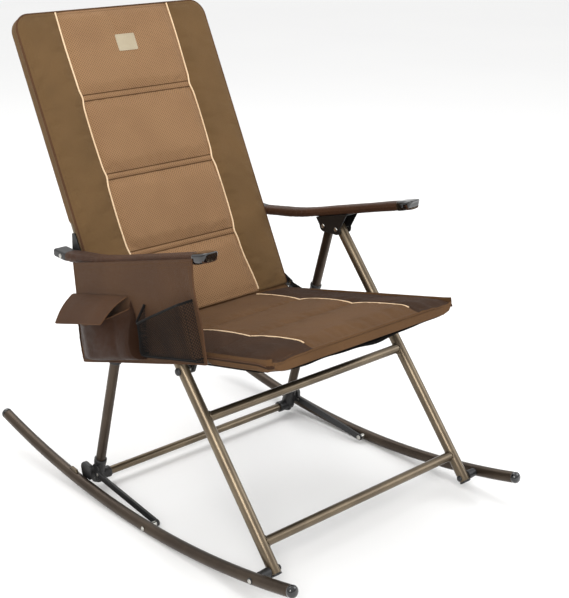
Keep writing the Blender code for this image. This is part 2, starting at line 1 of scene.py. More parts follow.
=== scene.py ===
"""Camp rocking chair: the visible pieces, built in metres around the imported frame."""
import math

import bmesh
import bpy
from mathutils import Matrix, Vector, noise


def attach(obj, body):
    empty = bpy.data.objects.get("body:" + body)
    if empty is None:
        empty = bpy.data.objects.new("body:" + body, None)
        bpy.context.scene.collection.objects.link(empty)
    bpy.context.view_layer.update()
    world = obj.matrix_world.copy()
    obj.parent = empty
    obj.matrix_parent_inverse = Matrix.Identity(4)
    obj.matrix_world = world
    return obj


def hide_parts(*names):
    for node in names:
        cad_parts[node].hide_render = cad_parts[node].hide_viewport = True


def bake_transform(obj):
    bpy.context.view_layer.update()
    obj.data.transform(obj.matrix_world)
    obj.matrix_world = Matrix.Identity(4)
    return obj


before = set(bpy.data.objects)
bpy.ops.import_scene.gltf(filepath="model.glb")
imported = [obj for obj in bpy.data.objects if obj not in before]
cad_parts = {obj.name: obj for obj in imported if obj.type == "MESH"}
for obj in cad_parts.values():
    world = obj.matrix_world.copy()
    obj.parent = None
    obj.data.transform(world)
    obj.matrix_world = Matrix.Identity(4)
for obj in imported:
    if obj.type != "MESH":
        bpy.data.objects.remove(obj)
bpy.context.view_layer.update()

SHIFT_Y = -0.030
X = Vector((1, 0, 0))
Z = Vector((0, 0, 1))
SIDES = (("R", -1), ("L", 1))
SWELL_FRAMES, SWELL_PRESSURE, SWELL_SHRINK = 20, 4.0, -0.018
MOST_MOVE, MOST_LIFT = 0.0030, 0.0086

# Layers and radii of the frame
LEG_R, REAR_R, BAR_R, WALL = 0.0125, 0.011, 0.0095, 0.0012
RAIL_X, PAD_X = 0.252, 0.264
LEG_X, REAR_X, ROCKER_X, ARM_X = 0.2855, 0.2925, 0.3346, 0.2855

# Side-view points (y, z), y before the shift
ROCKER_PIVOT = (-0.3730, 0.0473)
ARM_PIVOT = (0.0245, 0.5410)
REAR_PIVOT = (0.0665, 0.5410)
HUB = (0.2170, 0.0280)
SLIDER_Z = 0.357
LINK_FRONT, LINK_REAR = (-0.0270, 0.0140), (0.1900, 0.0450)
ROCKER_RADIUS = 2.027
CREASE = (0.1825, 0.3645)
SEAT_SLOPE, BACK_LEAN = math.radians(11.6), math.radians(25.8)
SEAT_LENGTH, BACK_LENGTH = 0.5305, 0.7386
BACK_CORNER, SEAT_CORNER = 0.038, 0.010
TUBE_DEPTH, SEAT_TUBE_DEPTH = 0.022, 0.0208
LINK_LAYER = (0.3070, 0.3130)
SEAT_HINGE_LAYER, BACK_HINGE_LAYER = (0.2645, 0.2667), (0.2671, 0.2693)
BACK_BRACKET_LAYER = (0.2619, 0.2659)
BRACKET_INNER_LAYER, BRACKET_OUTER_LAYER = (0.2680, 0.2705), (0.3040, 0.3065)
CROSSBAR_LOW_Z, CROSSBAR_HIGH_Z = 0.090, 0.300
ROCKER_FRONT_Y, ROCKER_REAR_Y = -0.4750, 0.5350
PANEL_X, POCKET_X, FLAP_X = 0.3088, 0.3103, 0.3128
POUCH_OUTER_X, NET_OUTER_X = 0.3490, 0.3345
SLEEVE_WIDE, SLEEVE_HIGH, SLEEVE_CORNER = 0.0376, 0.0196, 0.0066
LABEL_WIDE, LABEL_HIGH = 0.0540, 0.0400
COVER_START = 0.008
ARM_PATH = ((-0.1936, 0.6417), (0.1550, 0.5525), (0.2840, 0.5345))
ARM_END_Y = 0.3340


def at(x, point):
    return Vector((x, point[0] + SHIFT_Y, point[1]))


def height_on(start, end, z):
    """The point at height z on the line through start and end."""
    share = (z - start[1]) / (end[1] - start[1])
    return (start[0] + (end[0] - start[0]) * share, z)


def seat_point(forward, rise, x=0.0):
    """rise is above the seat's face."""
    return at(x, (CREASE[0] - forward * math.cos(SEAT_SLOPE) + rise * math.sin(SEAT_SLOPE),
                  CREASE[1] + forward * math.sin(SEAT_SLOPE) + rise * math.cos(SEAT_SLOPE)))


def back_point(up, rise, x=0.0):
    """rise is in front of the back's face."""
    return at(x, (CREASE[0] + up * math.sin(BACK_LEAN) - rise * math.cos(BACK_LEAN),
                  CREASE[1] + up * math.cos(BACK_LEAN) + rise * math.sin(BACK_LEAN)))


SEAT_PIVOT = height_on(ROCKER_PIVOT, ARM_PIVOT, 0.383)
SLIDER = height_on(REAR_PIVOT, HUB, SLIDER_Z)
OPENING = math.radians(90) + BACK_LEAN - SEAT_SLOPE
hinge = seat_point(0.009 / math.tan(OPENING / 2), 0.009)
BACK_PIVOT = (hinge.y - SHIFT_Y, hinge.z)
ARM_REAR_PIVOT = (ARM_PIVOT[0] + BACK_PIVOT[0] - SEAT_PIVOT[0], ARM_PIVOT[1] + BACK_PIVOT[1] - SEAT_PIVOT[1])


def smooth(t):
    t = min(max(t, 0.0), 1.0)
    return t * t * (3 - 2 * t)


def mix(a, b, t):
    return a + (b - a) * t


# ---------------------------------------------------------------- materials

def add(tree, kind, inputs=None, **settings):
    made = tree.nodes.new("ShaderNode" + kind)
    for key, value in settings.items():
        setattr(made, key, value)
    for key, value in (inputs or {}).items():
        socket = made.inputs[key]
        if isinstance(value, bpy.types.NodeSocket):
            tree.links.new(value, socket)
        else:
            socket.default_value = value
    return made


def math_node(tree, operation, a, b=0.5, clamp=False):
    return add(tree, "Math", {0: a, 1: b}, operation=operation, use_clamp=clamp).outputs[0]


def blend_colours(tree, factor, first, second):
    made = add(tree, "Mix", data_type="RGBA")
    for index, value in ((0, factor), (6, first), (7, second)):
        if isinstance(value, bpy.types.NodeSocket):
            tree.links.new(value, made.inputs[index])
        else:
            made.inputs[index].default_value = value
    return made.outputs[2]


def ramp(tree, factor, low, high):
    """0 below low and 1 above high."""
    made = add(tree, "MapRange", {0: factor, 1: low, 2: high}, clamp=True, interpolation_type="SMOOTHSTEP")
    return made.outputs[0]


def new_material(name, **sockets):
    made = bpy.data.materials.new(name)
    made.use_nodes = True
    tree = made.node_tree
    shader = tree.nodes["Principled BSDF"]
    for key, value in sockets.items():
        shader.inputs[key.replace("_", " ")].default_value = value
    return made, tree, shader


def colour(r, g, b):
    """sRGB 0-255 as a linear colour."""
    def linear(c):
        return c / 255 / 12.92 if c <= 10 else ((c / 255 + 0.055) / 1.055) ** 2.4

    return (linear(r), linear(g), linear(b), 1.0)


def hard_material(name, base, light, grain, grain_depth, roughness, speckle=0.0, **sockets):
    """Paint, plastic or metal: slow colour drift, fine grain in the bump and uneven gloss."""
    made, tree, shader = new_material(name, **sockets)
    place = add(tree, "TexCoord").outputs["Object"]
    slow = add(tree, "TexNoise", {"Vector": place, "Scale": 14.0, "Detail": 3.0}).outputs[0]
    fine = add(tree, "TexNoise", {"Vector": place, "Scale": grain, "Detail": 2.0}).outputs[0]
    shade = blend_colours(tree, ramp(tree, slow, 0.35, 0.7), base, light)
    if speckle:
        dots = add(tree, "TexVoronoi", {"Vector": place, "Scale": 1500.0}).outputs["Distance"]
        flake = math_node(tree, "MULTIPLY", ramp(tree, dots, 0.35, 0.1), speckle)
        bright = tuple(min(1.0, c * 3.0) for c in light[:3]) + (1.0,)
        shade = blend_colours(tree, flake, shade, bright)
    tree.links.new(shade, shader.inputs["Base Color"])
    gloss = add(tree, "MapRange", {0: slow, 3: roughness[0], 4: roughness[1]}).outputs[0]
    tree.links.new(gloss, shader.inputs["Roughness"])
    bump = add(tree, "Bump", {"Height": fine, "Strength": 0.6, "Distance": grain_depth})
    tree.links.new(bump.outputs[0], shader.inputs["Normal"])
    return made


def threads(tree, place, pitch):
    """The height, from 0 to 1, of two crossed sets of threads."""
    scaled = add(tree, "Mapping", {"Vector": place, "Scale": (1 / pitch,) * 3}).outputs[0]
    split = add(tree, "SeparateXYZ", {0: scaled})
    waves = [math_node(tree, "SINE", math_node(tree, "MULTIPLY", split.outputs[k], math.tau)) for k in (0, 1)]
    over = math_node(tree, "MULTIPLY", *waves)
    height = math_node(tree, "MULTIPLY_ADD", over, 0.5)
    height.node.inputs[2].default_value = 0.5
    return height


def cloth_material(name, base, dark, pitch=0.0011, depth=0.0004, roughness=0.85, sheen=0.25, holes=None,
                   hole_colour=None, crease=0.0016):
    """Woven cloth on a UV map in metres: threads, uneven dye, soft creases and, for air mesh, holes."""
    made, tree, shader = new_material(name, Sheen_Weight=sheen, Sheen_Roughness=0.45)
    shader.inputs["Specular IOR Level"].default_value = 0.12
    place = add(tree, "UVMap", uv_map="metres").outputs[0]
    solid = add(tree, "TexCoord").outputs["Object"]
    weave = threads(tree, place, pitch)
    dye = add(tree, "TexNoise", {"Vector": solid, "Scale": 9.0, "Detail": 4.0}).outputs[0]
    streak = add(tree, "Mapping", {"Vector": place, "Scale": (900.0, 60.0, 1.0)}).outputs[0]
    streak = add(tree, "TexNoise", {"Vector": streak, "Scale": 1.0, "Detail": 2.0}).outputs[0]
    shade = blend_colours(tree, ramp(tree, dye, 0.3, 0.72), dark, base)
    worn = math_node(tree, "MULTIPLY", ramp(tree, streak, 0.45, 0.75), 0.35)
    shade = blend_colours(tree, worn, shade, dark)
    # Raised threads are blended lighter than the gaps between them: a painted highlight on the thread tops
    # and painted shade between them.
    lit = blend_colours(tree, math_node(tree, "MULTIPLY", weave, 0.35), shade, base)
    height = weave
    if holes:
        turned = add(tree, "Mapping", {"Vector": place, "Rotation": (0, 0, math.radians(45)),
                                       "Scale": (1 / holes,) * 3}).outputs[0]
        cell = add(tree, "VectorMath", {0: turned}, operation="FRACTION").outputs[0]
        centre = add(tree, "VectorMath", {0: cell, 1: (0.5, 0.5, 0.0)}, operation="SUBTRACT").outputs[0]
        flat = add(tree, "VectorMath", {0: centre, 1: (1.0, 1.0, 0.0)}, operation="MULTIPLY").outputs[0]
        away = add(tree, "VectorMath", {0: flat}, operation="LENGTH").outputs["Value"]
        open_ = ramp(tree, away, 0.34, 0.16)
        lit = blend_colours(tree, math_node(tree, "MULTIPLY", open_, 0.85), lit, hole_colour)
        height = math_node(tree, "SUBTRACT", weave, math_node(tree, "MULTIPLY", open_, 3.0))
    tree.links.new(lit, shader.inputs["Base Color"])
    soft = add(tree, "TexNoise", {"Vector": solid, "Scale": 38.0, "Detail": 3.0,
                                  "Distortion": 0.6}).outputs[0]
    folds = add(tree, "Bump", {"Height": soft, "Strength": 0.5, "Distance": crease})
    bump = add(tree, "Bump", {"Height": height, "Strength": 0.7, "Distance": depth,
                              "Normal": folds.outputs[0]})
    tree.links.new(bump.outputs[0], shader.inputs["Normal"])
    rough = add(tree, "MapRange", {0: dye, 3: roughness - 0.08, 4: roughness + 0.06}).outputs[0]
    tree.links.new(rough, shader.inputs["Roughness"])
    return made


BRONZE = hard_material("bronze_coat", colour(96, 84, 68), colour(112, 99, 80), 900.0, 0.00015, (0.28, 0.38),
                       speckle=0.25, Metallic=0.85, Coat_Weight=0.2, Coat_Roughness=0.2)
# Darker copy of the bronze paint for the rockers and rear legs: the darker colour is painted shade, as the
# same paint sits in shade on those tubes.
BRONZE_PAINTED_SHADE = hard_material("bronze_coat_painted_shade", colour(62, 52, 43), colour(74, 63, 52), 900.0, 0.00015,
                            (0.36, 0.46), speckle=0.2, Metallic=0.8, Coat_Weight=0.1, Coat_Roughness=0.3)
BLACK_METAL = hard_material("black_coat", colour(22, 22, 23), colour(31, 31, 31), 800.0, 0.00015, (0.38, 0.5),
                            Metallic=0.3)
PLASTIC = hard_material("moulded_black", colour(21, 21, 22), colour(31, 30, 30), 1100.0, 0.00012,
                        (0.36, 0.50))
GLOSS = hard_material("glossy_black", colour(10, 10, 11), colour(15, 15, 16), 60.0, 0.0002, (0.06, 0.12),
                      Coat_Weight=0.6, Coat_Roughness=0.04)
STEEL = hard_material("zinc_plate", colour(170, 168, 162), colour(196, 194, 188), 500.0, 0.0001, (0.22, 0.34),
                      Metallic=1.0)
AIR_MESH = cloth_material("air_mesh", colour(153, 119, 86), colour(143, 110, 79), pitch=0.0010, depth=0.0003,
                          holes=0.0046, hole_colour=colour(84, 59, 38), roughness=0.85, sheen=0.04,
                          crease=0.0008)
SIDE_CLOTH = cloth_material("side_cloth", colour(108, 83, 54), colour(98, 75, 48), sheen=0.03, crease=0.0022)
SEAT_CLOTH = cloth_material("seat_cloth", colour(97, 70, 45), colour(86, 61, 38), sheen=0.03, crease=0.003)
# Darker copy of the seat cloth for the seat's side panels: the darkening is painted shade, as the panels
# slope down away from the light.
SEAT_SIDE_PAINTED_SHADE = cloth_material("seat_side_painted_shade", colour(62, 42, 28), colour(50, 34, 23), sheen=0.02,
                           crease=0.003)
ARM_CLOTH = cloth_material("arm_cloth", colour(72, 45, 27), colour(57, 35, 21), sheen=0.03, roughness=0.5,
                           crease=0.003)
POCKET_CLOTH = cloth_material("pocket_cloth", colour(82, 58, 39), colour(74, 51, 34), sheen=0.02,
                              roughness=0.6, crease=0.003)
POUCH_CLOTH = cloth_material("pouch_cloth", colour(55, 33, 20), colour(42, 26, 16), sheen=0.02, roughness=0.5,
                             crease=0.003)
FLAP_CLOTH = cloth_material("flap_cloth", colour(76, 50, 30), colour(66, 43, 26), sheen=0.02, roughness=0.55,
                            crease=0.003)
LABEL = cloth_material("woven_label", colour(178, 166, 142), colour(156, 142, 118), pitch=0.0009,
                       depth=0.0002, crease=0.0001)
BINDING = cloth_material("binding_tape", colour(92, 64, 43), colour(72, 49, 32), pitch=0.0016, depth=0.0005,
                         sheen=0.05, crease=0.0004)
LINING = cloth_material("black_lining", colour(24, 22, 21), colour(16, 15, 14), sheen=0.03, crease=0.003)
PIPING = cloth_material("cream_piping", colour(244, 216, 180), colour(222, 192, 154), pitch=0.0014,
                        depth=0.0003, sheen=0.05, crease=0.0003)
# Dark cloth for the cords sunk along the back's channels: painted shade standing for the shadow in the
# grooves.
CHANNEL_SHADE_CLOTH = cloth_material("channel_painted_shade", colour(92, 66, 43), colour(80, 56, 36), sheen=0.02, crease=0.0004)
THREAD = cloth_material("thread", colour(104, 78, 54), colour(84, 62, 42), pitch=0.0006, depth=0.0001,
                        sheen=0.02, crease=0.0001)
NET = cloth_material("pocket_net", colour(28, 27, 27), colour(18, 17, 17), pitch=0.0006, depth=0.0001,
                     sheen=0.03, crease=0.0002)


# ---------------------------------------------------------------- mesh helpers

SLOTS = {
    "bronze_tube": (BRONZE, BRONZE_PAINTED_SHADE), "black_metal": (BLACK_METAL,), "black_plastic": (PLASTIC,),
    "gloss_cap": (GLOSS,), "bolt_metal": (STEEL,), "arm_fabric": (ARM_CLOTH,), "mesh_fabric": (NET,),
    "seat_fabric": (AIR_MESH, SIDE_CLOTH, SEAT_CLOTH, CHANNEL_SHADE_CLOTH, LABEL, PIPING, BINDING, LINING),
    "pocket_fabric": (POCKET_CLOTH, POUCH_CLOTH, FLAP_CLOTH),
}


def piece(name, points, faces, material, body, uvs=None, angle=40.0, replaces=(), slot=None):
    """A smooth-shaded piece that rides on a body. A slot is worked out from its first material unless one is
    given, but the piece doesn't keep it.
    """
    mesh = bpy.data.meshes.new(name)
    mesh.from_pydata([tuple(p) for p in points], [], [tuple(f) for f in faces])
    obj = bpy.data.objects.new(name, mesh)
    bpy.context.scene.collection.objects.link(obj)
    if uvs:
        layer = mesh.uv_layers.new(name="metres")
        flat = [c for face in uvs for corner in face for c in corner]
        layer.data.foreach_set("uv", flat)
    solid = bmesh.new()
    solid.from_mesh(mesh)
    if all(len(edge.link_faces) == 2 for edge in solid.edges):
        bmesh.ops.recalc_face_normals(solid, faces=solid.faces)
    solid.to_mesh(mesh)
    solid.free()
    mesh.shade_smooth()
    if angle:
        mesh.set_sharp_from_angle(angle=math.radians(angle))
    materials = material if isinstance(material, tuple) else (material,)
    for one in materials:
        mesh.materials.append(one)
    slot = slot or next((key for key, members in SLOTS.items() if materials[0] in members), None)
    if body:
        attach(obj, body)
    if replaces:
        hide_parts(*replaces)
    return obj


def skin(name, rows, material, body, wrap=False, closed=False, caps=False, **more):
    """A piece whose faces join rows of points."""
    points, faces, uvs = lattice(rows, wrap, closed, caps)
    return piece(name, points, faces, material, body, uvs=uvs, **more)


def modifier(obj, kind, **settings):
    made = obj.modifiers.new(kind.lower(), kind)
    for key, value in settings.items():
        setattr(made, key, value)
    return made


def lattice(rows, wrap=False, closed=False, caps=False):
    """(points, faces, uvs) through rows of equal count, UVs in metres.
    wrap joins the ends of each row, and closed joins the last row to the first."""
    count, total = len(rows[0]), len(rows)
    points = [p for row in rows for p in row]
    widest = max(range(total),
                 key=lambda i: sum((rows[i][k] - rows[i][k - 1]).length for k in range(1, count)))
    us, row = [0.0], rows[widest]
    for k in range(1, count + 1):
        us.append(us[-1] + (row[k % count] - row[k - 1]).length)
    vs = [0.0]
    for i in range(1, total + 1):
        vs.append(vs[-1] + sum((rows[i % total][k] - rows[i - 1][k]).length for k in (0, count // 2)) / 2)
    faces, uvs = [], []
    for i in range(total if closed else total - 1):
        j = (i + 1) % total
        for k in range(count if wrap else count - 1):
            m = (k + 1) % count
            faces.append((i * count + k, i * count + m, j * count + m, j * count + k))
            uvs.append(((us[k], vs[i]), (us[k + 1], vs[i]), (us[k + 1], vs[i + 1]), (us[k], vs[i + 1])))
    if caps:
        for start, order in ((0, -1), ((total - 1) * count, 1)):
            ring = list(range(start, start + count))[::order]
            faces.append(ring)
            uvs.append([(points[i].x, points[i].z) for i in ring])
    return points, faces, uvs


def frames(path, first, closed=False):
    """(side, up) square to the path at each of its points, carried along without twist."""
    out, last = [], len(path) - 1
    for i in range(len(path)):
        before = path[i - 1] if closed or i else path[0]
        after = path[(i + 1) % len(path)] if closed or i < last else path[last]
        way = (after - before).normalized()
        lead = out[-1][0] if out else first
        side = (lead - way * lead.dot(way)).normalized()
        out.append((side, way.cross(side)))
    return out


def ring(centre, side, up, radius, sides):
    return [centre + side * (radius * math.cos(math.tau * k / sides))
            + up * (radius * math.sin(math.tau * k / sides))
            for k in range(sides)]


def tube(name, path, radius, material, body, normal=X, sides=32, wall=WALL, closed=False, **more):
    """A round tube. With a wall, its ends are open with a rounded lip.
    With none, it is solid with domed ends."""
    axes = frames(path, normal, closed)
    if closed:
        rows = [ring(p, s, u, radius, sides) for p, (s, u) in zip(path, axes)]
        return skin(name, rows, material, body, wrap=True, closed=True, **more)
    rows = []
    lip = radius * 0.12
    for end in (0, -1):
        side, up = axes[end]
        way = (path[0] - path[1]).normalized() if end == 0 else (path[-1] - path[-2]).normalized()
        if wall:
            steps = [(-0.016, 0.0), (-0.016, radius - wall), (0.0, radius - wall),
                     (lip * 0.8, radius - wall * 0.5), (lip * 0.3, radius - wall * 0.1)]
        else:
            steps = [(radius * 0.42 * math.cos(a), radius * math.sin(a)) for a in (0.001, 0.5, 1.0, 1.35)]
        rows.append([ring(path[end] + way * (d - (lip if wall else 0)), side, up, max(r, 1e-5), sides)
                     for d, r in steps])
    middle = [ring(p, s, u, radius, sides) for p, (s, u) in zip(path, axes)]
    if wall:
        middle[0] = ring(path[0] + (path[1] - path[0]).normalized() * lip, *axes[0], radius, sides)
        middle[-1] = ring(path[-1] + (path[-2] - path[-1]).normalized() * lip, *axes[-1], radius, sides)
    return skin(name, rows[0] + middle + rows[1][::-1], material, body, wrap=True, caps=True, **more)


def turned(name, start, axis, profile, material, body, sides=32, **more):
    """A turned piece. profile lists (distance along axis, radius)."""
    axis = axis.normalized()
    side = axis.cross(X if abs(axis.x) < 0.5 else Z).normalized()
    up = axis.cross(side)
    rows = [ring(start + axis * d, side, up, max(r, 1e-5), sides) for d, r in profile]
    return skin(name, rows, material, body, wrap=True, caps=True, **more)


def cross_bolt(name, centre, side, profile, material, body, **more):
    """A turned piece that lies across the chair. Its profile is measured from the middle of the chair."""
    return turned(name, at(0, centre), X * side, profile, material, body, **more)


def dome(start, radius, height, inwards=False):
    """Profile of a domed head that starts flat at start and rises by height."""
    steps = [(0.0, radius * 0.96), (height * 0.12, radius), (height * 0.4, radius * 0.98),
             (height * 0.72, radius * 0.82), (height * 0.93, radius * 0.5), (height, 0.0)]
    return [(start - d, r) for d, r in reversed(steps)] if inwards else [(start + d, r) for d, r in steps]


def arc(centre, radius, first, last, count):
    """Points (y, z) on an arc round a centre, between two angles in degrees."""
    turns = [math.radians(mix(first, last, k / (count - 1))) for k in range(count)]
    return [(centre[0] + radius * math.cos(a), centre[1] + radius * math.sin(a)) for a in turns]


def rounded_outline(corners, radius, steps=6):
    """The outline with each corner rounded."""
    out, n = [], len(corners)
    for i, here in enumerate(corners):
        here = Vector(here)
        into = (Vector(corners[i - 1]) - here)
        onto = (Vector(corners[(i + 1) % n]) - here)
        reach = min(radius, into.length * 0.45, onto.length * 0.45)
        a, b = here + into.normalized() * reach, here + onto.normalized() * reach
        for k in range(steps + 1):
            t = k / steps
            out.append((a * (1 - t) ** 2 + here * 2 * t * (1 - t) + b * t * t).to_tuple())
    return out


def plate(name, outline, layer, side, material, body, bevel=0.0006, **more):
    """A flat plate with softened edges. layer is its two distances from the middle of the chair."""
    rows = [[at(side * x, p) for p in outline] for x in layer]
    points, faces, _ = lattice(rows, wrap=True, caps=True)
    made = piece(name, points, faces, material, body, **more)
    modifier(made, "BEVEL", width=bevel, segments=3, limit_method="ANGLE", angle_limit=math.radians(40))
    return made


def arc_points(corner, into, onto, radius, steps=10):
    """A quarter bend that rounds a square corner, from the into side to the onto side."""
    centre = corner + into * radius + onto * radius
    turns = [math.pi / 2 * k / steps for k in range(steps + 1)]
    return [centre - into * radius * math.sin(a) - onto * radius * math.cos(a) for a in turns]


def stitches(name, rows, material, body, pitch=0.0042, length=0.0030, radius=0.00035):
    """Rows of single stitches. Each row is a list of (point, normal).
    A stitch lies along the row, half sunk."""
    points, faces = [], []
    for row in rows:
        marks = [0.0]
        for (p, _), (q, _) in zip(row, row[1:]):
            marks.append(marks[-1] + (q - p).length)
        place = pitch / 2
        index = 0
        while place < marks[-1]:
            while marks[index + 1] < place:
                index += 1
            t = (place - marks[index]) / max(marks[index + 1] - marks[index], 1e-9)
            (p, n), (q, m) = row[index], row[index + 1]
            centre, out = p.lerp(q, t), n.lerp(m, t).normalized()
            way = (q - p).normalized()
            over = out.cross(way)
            start = len(points)
            for along, swell, lift in ((-0.5, 0.35, -0.3), (-0.3, 1.0, 0.5), (0.3, 1.0, 0.5),
                                       (0.5, 0.35, -0.3)):
                spot = centre + way * (length * along) + out * (radius * lift)
                for k in range(6):
                    a = math.tau * k / 6
                    points.append(spot + over * (radius * swell * 1.2 * math.cos(a))
                                  + out * (radius * swell * math.sin(a)))
            for r in range(3):
                for k in range(6):
                    a, b = start + r * 6 + k, start + r * 6 + (k + 1) % 6
                    faces.append((a, b, b + 6, a + 6))
            faces.append([start + k for k in range(5, -1, -1)])
            faces.append([start + 18 + k for k in range(6)])
            place += pitch
    return piece(name, points, faces, material, body, uvs=[[(0.0, 0.0)] * len(f) for f in faces])


# ---------------------------------------------------------------- metal frame

def bar_between_legs(name, height, body):
    """A cross bar coped to both front legs, with a weld bead round each end."""
    level = height_on(ROCKER_PIVOT, ARM_PIVOT, height)
    lean = Vector((0, ARM_PIVOT[0] - ROCKER_PIVOT[0], ARM_PIVOT[1] - ROCKER_PIVOT[1])).normalized()
    across = X.cross(lean)
    sides = 40
    rows, beads = [], []
    for share in (-1.0, -0.97, 0.97, 1.0):
        row = []
        for k in range(sides):
            offset = Vector((0, math.cos(math.tau * k / sides), math.sin(math.tau * k / sides))) * BAR_R * 1.1
            reach = LEG_X - math.sqrt(LEG_R ** 2 - offset.dot(across) ** 2)
            row.append(at(share * reach, level) + offset)
        rows.append(row)
        if abs(share) == 1.0:
            centre = at(0, level)
            beads.append([p + (p - Vector((p.x, centre.y, centre.z))).normalized() * 0.0006
                          - X * share * 0.0006
                          for p in row])
    skin(name + "_bar", rows, BRONZE, body, wrap=True, caps=True, replaces=(name,))
    for mark, path in zip("RL", beads):
        axes = frames(path, X, closed=True)
        rings = []
        for i, (p, (s, u)) in enumerate(zip(path, axes)):
            rings.append(ring(p, s, u, 0.0017 + 0.00025 * math.sin(i * 2.1), 10))
        skin(f"weld_{name}_{mark}", rings, BRONZE, body, wrap=True, closed=True)


def build_frame():
    """The front legs with their plugs and cross bars, and the rocker and seat bolts."""
    foot = (Vector(ARM_PIVOT) - Vector(ROCKER_PIVOT)).normalized()
    start, end = Vector(ROCKER_PIVOT) - foot * 0.009, Vector(ARM_PIVOT) + foot * 0.009
    inner, outer = LEG_X - LEG_R, LEG_X + LEG_R
    for mark, side in SIDES:
        path = [at(side * LEG_X, start.lerp(end, t / 8)) for t in range(9)]
        tube(f"front_leg_{mark}_tube", path, LEG_R, BRONZE, "front_frame", sides=48,
             replaces=(f"front_leg_{mark}",))
        way = (path[0] - path[1]).normalized()
        turned(f"foot_plug_{mark}_cap", path[0], way,
               [(-0.0035, 0.0105), (0.0002, 0.0108), (0.0003, 0.0124), (0.0008, 0.0128), (0.0024, 0.0128),
                (0.0036, 0.0118), (0.0041, 0.009), (0.0042, 0.0)],
               PLASTIC, "front_frame", replaces=(f"foot_plug_{mark}",))
        near = ROCKER_X - LEG_R
        far = ROCKER_X + LEG_R
        cross_bolt(f"rocker_bolt_{mark}_pin", ROCKER_PIVOT, side,
                   dome(inner + 0.0002, 0.0058, 0.0030, True) + [(inner, 0.0034), (far + 0.0006, 0.0034)]
                   + dome(far + 0.0006, 0.0048, 0.0026),
                   STEEL, "front_frame", replaces=(f"rocker_bolt_{mark}",))
        cross_bolt(f"rocker_washer_{mark}", ROCKER_PIVOT, side,
                   [(far - 0.0030, 0.0050), (far - 0.0014, 0.0070), (far + 0.0008, 0.0066),
                    (far + 0.0012, 0.0040)],
                   PLASTIC, "front_frame")
        cross_bolt(f"rocker_spacer_{mark}", ROCKER_PIVOT, side,
                   [(outer - 0.0016, 0.0070), (outer + 0.0004, 0.0100), (outer + 0.0030, 0.0104),
                    (near - 0.0036, 0.0092), (near - 0.0004, 0.0096), (near + 0.0018, 0.0070)],
                   PLASTIC, "front_frame")
        cross_bolt(f"seat_bolt_{mark}_cover", SEAT_PIVOT, side, dome(outer - 0.0004, 0.0082, 0.0062), PLASTIC,
                   "front_frame")
        cross_bolt(f"rocker_bolt_{mark}_cover", ROCKER_PIVOT, side,
                   dome(inner + 0.0004, 0.0068, 0.0044, True), PLASTIC,
                   "front_frame")
        cross_bolt(f"seat_bolt_{mark}_pin", SEAT_PIVOT, side,
                   dome(0.2606, 0.0050, 0.0024, True) + [(0.2607, 0.0030), (0.2680, 0.0030), (0.2682, 0.0055),
                    (inner - 0.0004, 0.0055), (inner, 0.0034), (outer, 0.0034)] + dome(outer, 0.0050, 0.0030),
                   STEEL, "front_frame", replaces=(f"seat_bolt_{mark}",))
    bar_between_legs("crossbar_lower", CROSSBAR_LOW_Z, "front_frame")
    bar_between_legs("crossbar_upper", CROSSBAR_HIGH_Z, "front_frame")


def rocker_point(y, above=0.0):
    """A point on the rocker's centre line, or above it."""
    turn = math.asin(y / ROCKER_RADIUS)
    centre = LEG_R + ROCKER_RADIUS
    reach = ROCKER_RADIUS - above
    return (reach * math.sin(turn), centre - reach * math.cos(turn))


